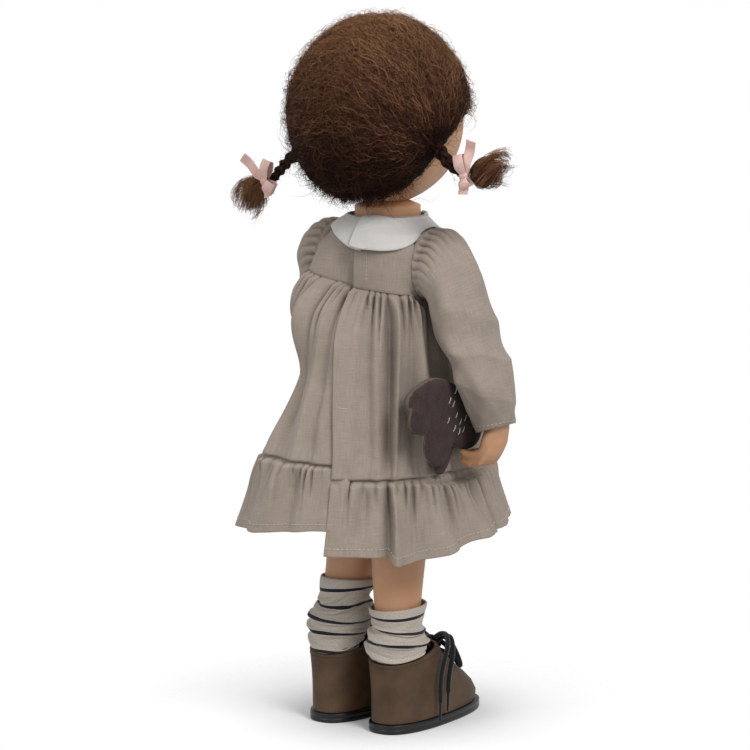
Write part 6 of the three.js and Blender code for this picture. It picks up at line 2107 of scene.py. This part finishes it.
def flecks():
    """Short slanted stitches on the rump's outer side."""
    shares = np.array([-1, -0.6, 0.6, 1])
    sunk = np.array([-0.3, 0.06, 0.06, -0.3])
    x = TOY_MIDDLE - TOY_BODY[2][2] - sunk
    paths = [stacked(x, y - lean * FLECK_HALF * shares, z + FLECK_HALF * shares) for y, z, lean in TOY_FLECKS]
    points, faces, uv = tubes(np.array(paths), 0.24, 8, (1, 0, 0))
    finished(mesh_object("fawn_flecks", points, faces, uv), "right_arm", "felt", material=LIGHT_THREAD)


def toy():
    """The fawn: a body in one with its outer legs, two inner legs behind, head, ears and flecks."""
    legs = {name: toy_leg(name) for name in TOY_LEGS}
    outer = [legs["hind_outer"], legs["front_outer"]]
    body = fused("fawn_body", [toy_part("fawn_trunk", TOY_BODY)] + outer, 0.7, 6)
    toy_piece(body, "toy_body", "toy_leg_hind_outer", "toy_leg_front_outer")
    for name in ("hind_inner", "front_inner"):
        toy_piece(legs[name], f"toy_leg_{name}", half=9)
    toy_piece(toy_part("fawn_head", TOY_HEAD), "toy_head")
    for name, offset in (("outer", -EAR_APART), ("inner", EAR_APART)):
        toy_piece(toy_part(f"fawn_ear_{name}", TOY_EAR, offset), f"toy_ear_{name}")
    flecks()


# Floor, light and camera


def floor_material():
    """Near white, and thinning out with the distance from the doll."""
    material = new_material("floor", 0.9, Specular_IOR_Level=0.1)
    place = coordinates(material, "Object")
    tone = noise(material, place, 6.0, 2.0)
    colour_by(material, tone, (0.3, (0.9, 0.9, 0.9, 1)), (0.7, (0.93, 0.93, 0.93, 1)))
    away = node(material, "VectorMath", {"Vector": place}, operation="LENGTH").outputs["Value"]
    near, far = FLOOR_FADE
    join(material, ramp(material, away, (near, (1, 1, 1, 1)), (far, (0, 0, 0, 1))), "Alpha")
    return material


def floor():
    """A wide flat floor under the doll."""
    size = 3.0
    mesh = bpy.data.meshes.new("floor")
    corners = [(-size, -size, 0), (size, -size, 0), (size, size, 0), (-size, size, 0)]
    mesh.from_pydata(corners, [], [(0, 1, 2, 3)])
    plane = added("floor", mesh)
    plane.data.materials.append(floor_material())
    plane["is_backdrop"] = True


def area_light(name, place, aim, size, power):
    """A round lamp that looks at a point."""
    light = bpy.data.lights.new(name, "AREA")
    light.shape = "DISK"
    light.size = size
    light.energy = power
    lamp = added(name, light)
    lamp.location = Vector(place)
    lamp.rotation_euler = (Vector(aim) - Vector(place)).to_track_quat("-Z", "Y").to_euler()


def world():
    """A white backdrop for the camera and a soft, slightly cool sky for everything else."""
    backdrop = bpy.data.worlds.new("backdrop")
    bpy.context.scene.world = backdrop
    backdrop.use_nodes = True
    tree = backdrop.node_tree
    tree.nodes.clear()
    output = tree.nodes.new("ShaderNodeOutputWorld")
    ray = tree.nodes.new("ShaderNodeLightPath")
    shown = tree.nodes.new("ShaderNodeBackground")
    shown.inputs["Color"].default_value = (1, 1, 1, 1)
    lit = tree.nodes.new("ShaderNodeBackground")
    lit.inputs["Color"].default_value = (0.97, 0.985, 1.0, 1)
    lit.inputs["Strength"].default_value = 0.6
    either = tree.nodes.new("ShaderNodeMixShader")
    tree.links.new(ray.outputs["Is Camera Ray"], either.inputs[0])
    tree.links.new(lit.outputs[0], either.inputs[1])
    tree.links.new(shown.outputs[0], either.inputs[2])
    tree.links.new(either.outputs[0], output.inputs["Surface"])


def camera():
    """The camera behind the doll's right side."""
    data = bpy.data.cameras.new("camera")
    data.lens = CAMERA_LENS
    data.sensor_width = 36
    data.sensor_fit = "HORIZONTAL"
    data.clip_end = 20
    view = added("camera", data)
    view.location = np.array(CAMERA_PLACE) / 1000 + AXIS
    view.rotation_euler = (math.radians(90 - CAMERA_TILT), 0, math.radians(CAMERA_TURN))
    bpy.context.scene.camera = view
    bpy.context.scene.view_settings.view_transform = "Standard"


camera()
world()
floor()
for name, place, aim, size, power in LIGHTS:
    area_light(name, place, aim, size, power)

for which_side in SIDES:
    for build in (laces, boot_upper, tongue, sole, leg, sock, arm, sleeve, collar):
        build(which_side)
torso()
snaps()
yoke()
skirt()
ruffle()
toy()
head()
wig_base()
for number in range(3):
    wig_strands(f"wig_locks_{number}", 5 + number)
frizz()
flyaways()
nape_fringe()
for which_side in SIDES:
    for build in (braid, elastic, tuft, bow):
        build(which_side)

boxes = {"frame": box_of_frame, "visual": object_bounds()}
sizes = {name: [list(corner) for corner in box] for name, box in boxes.items()}
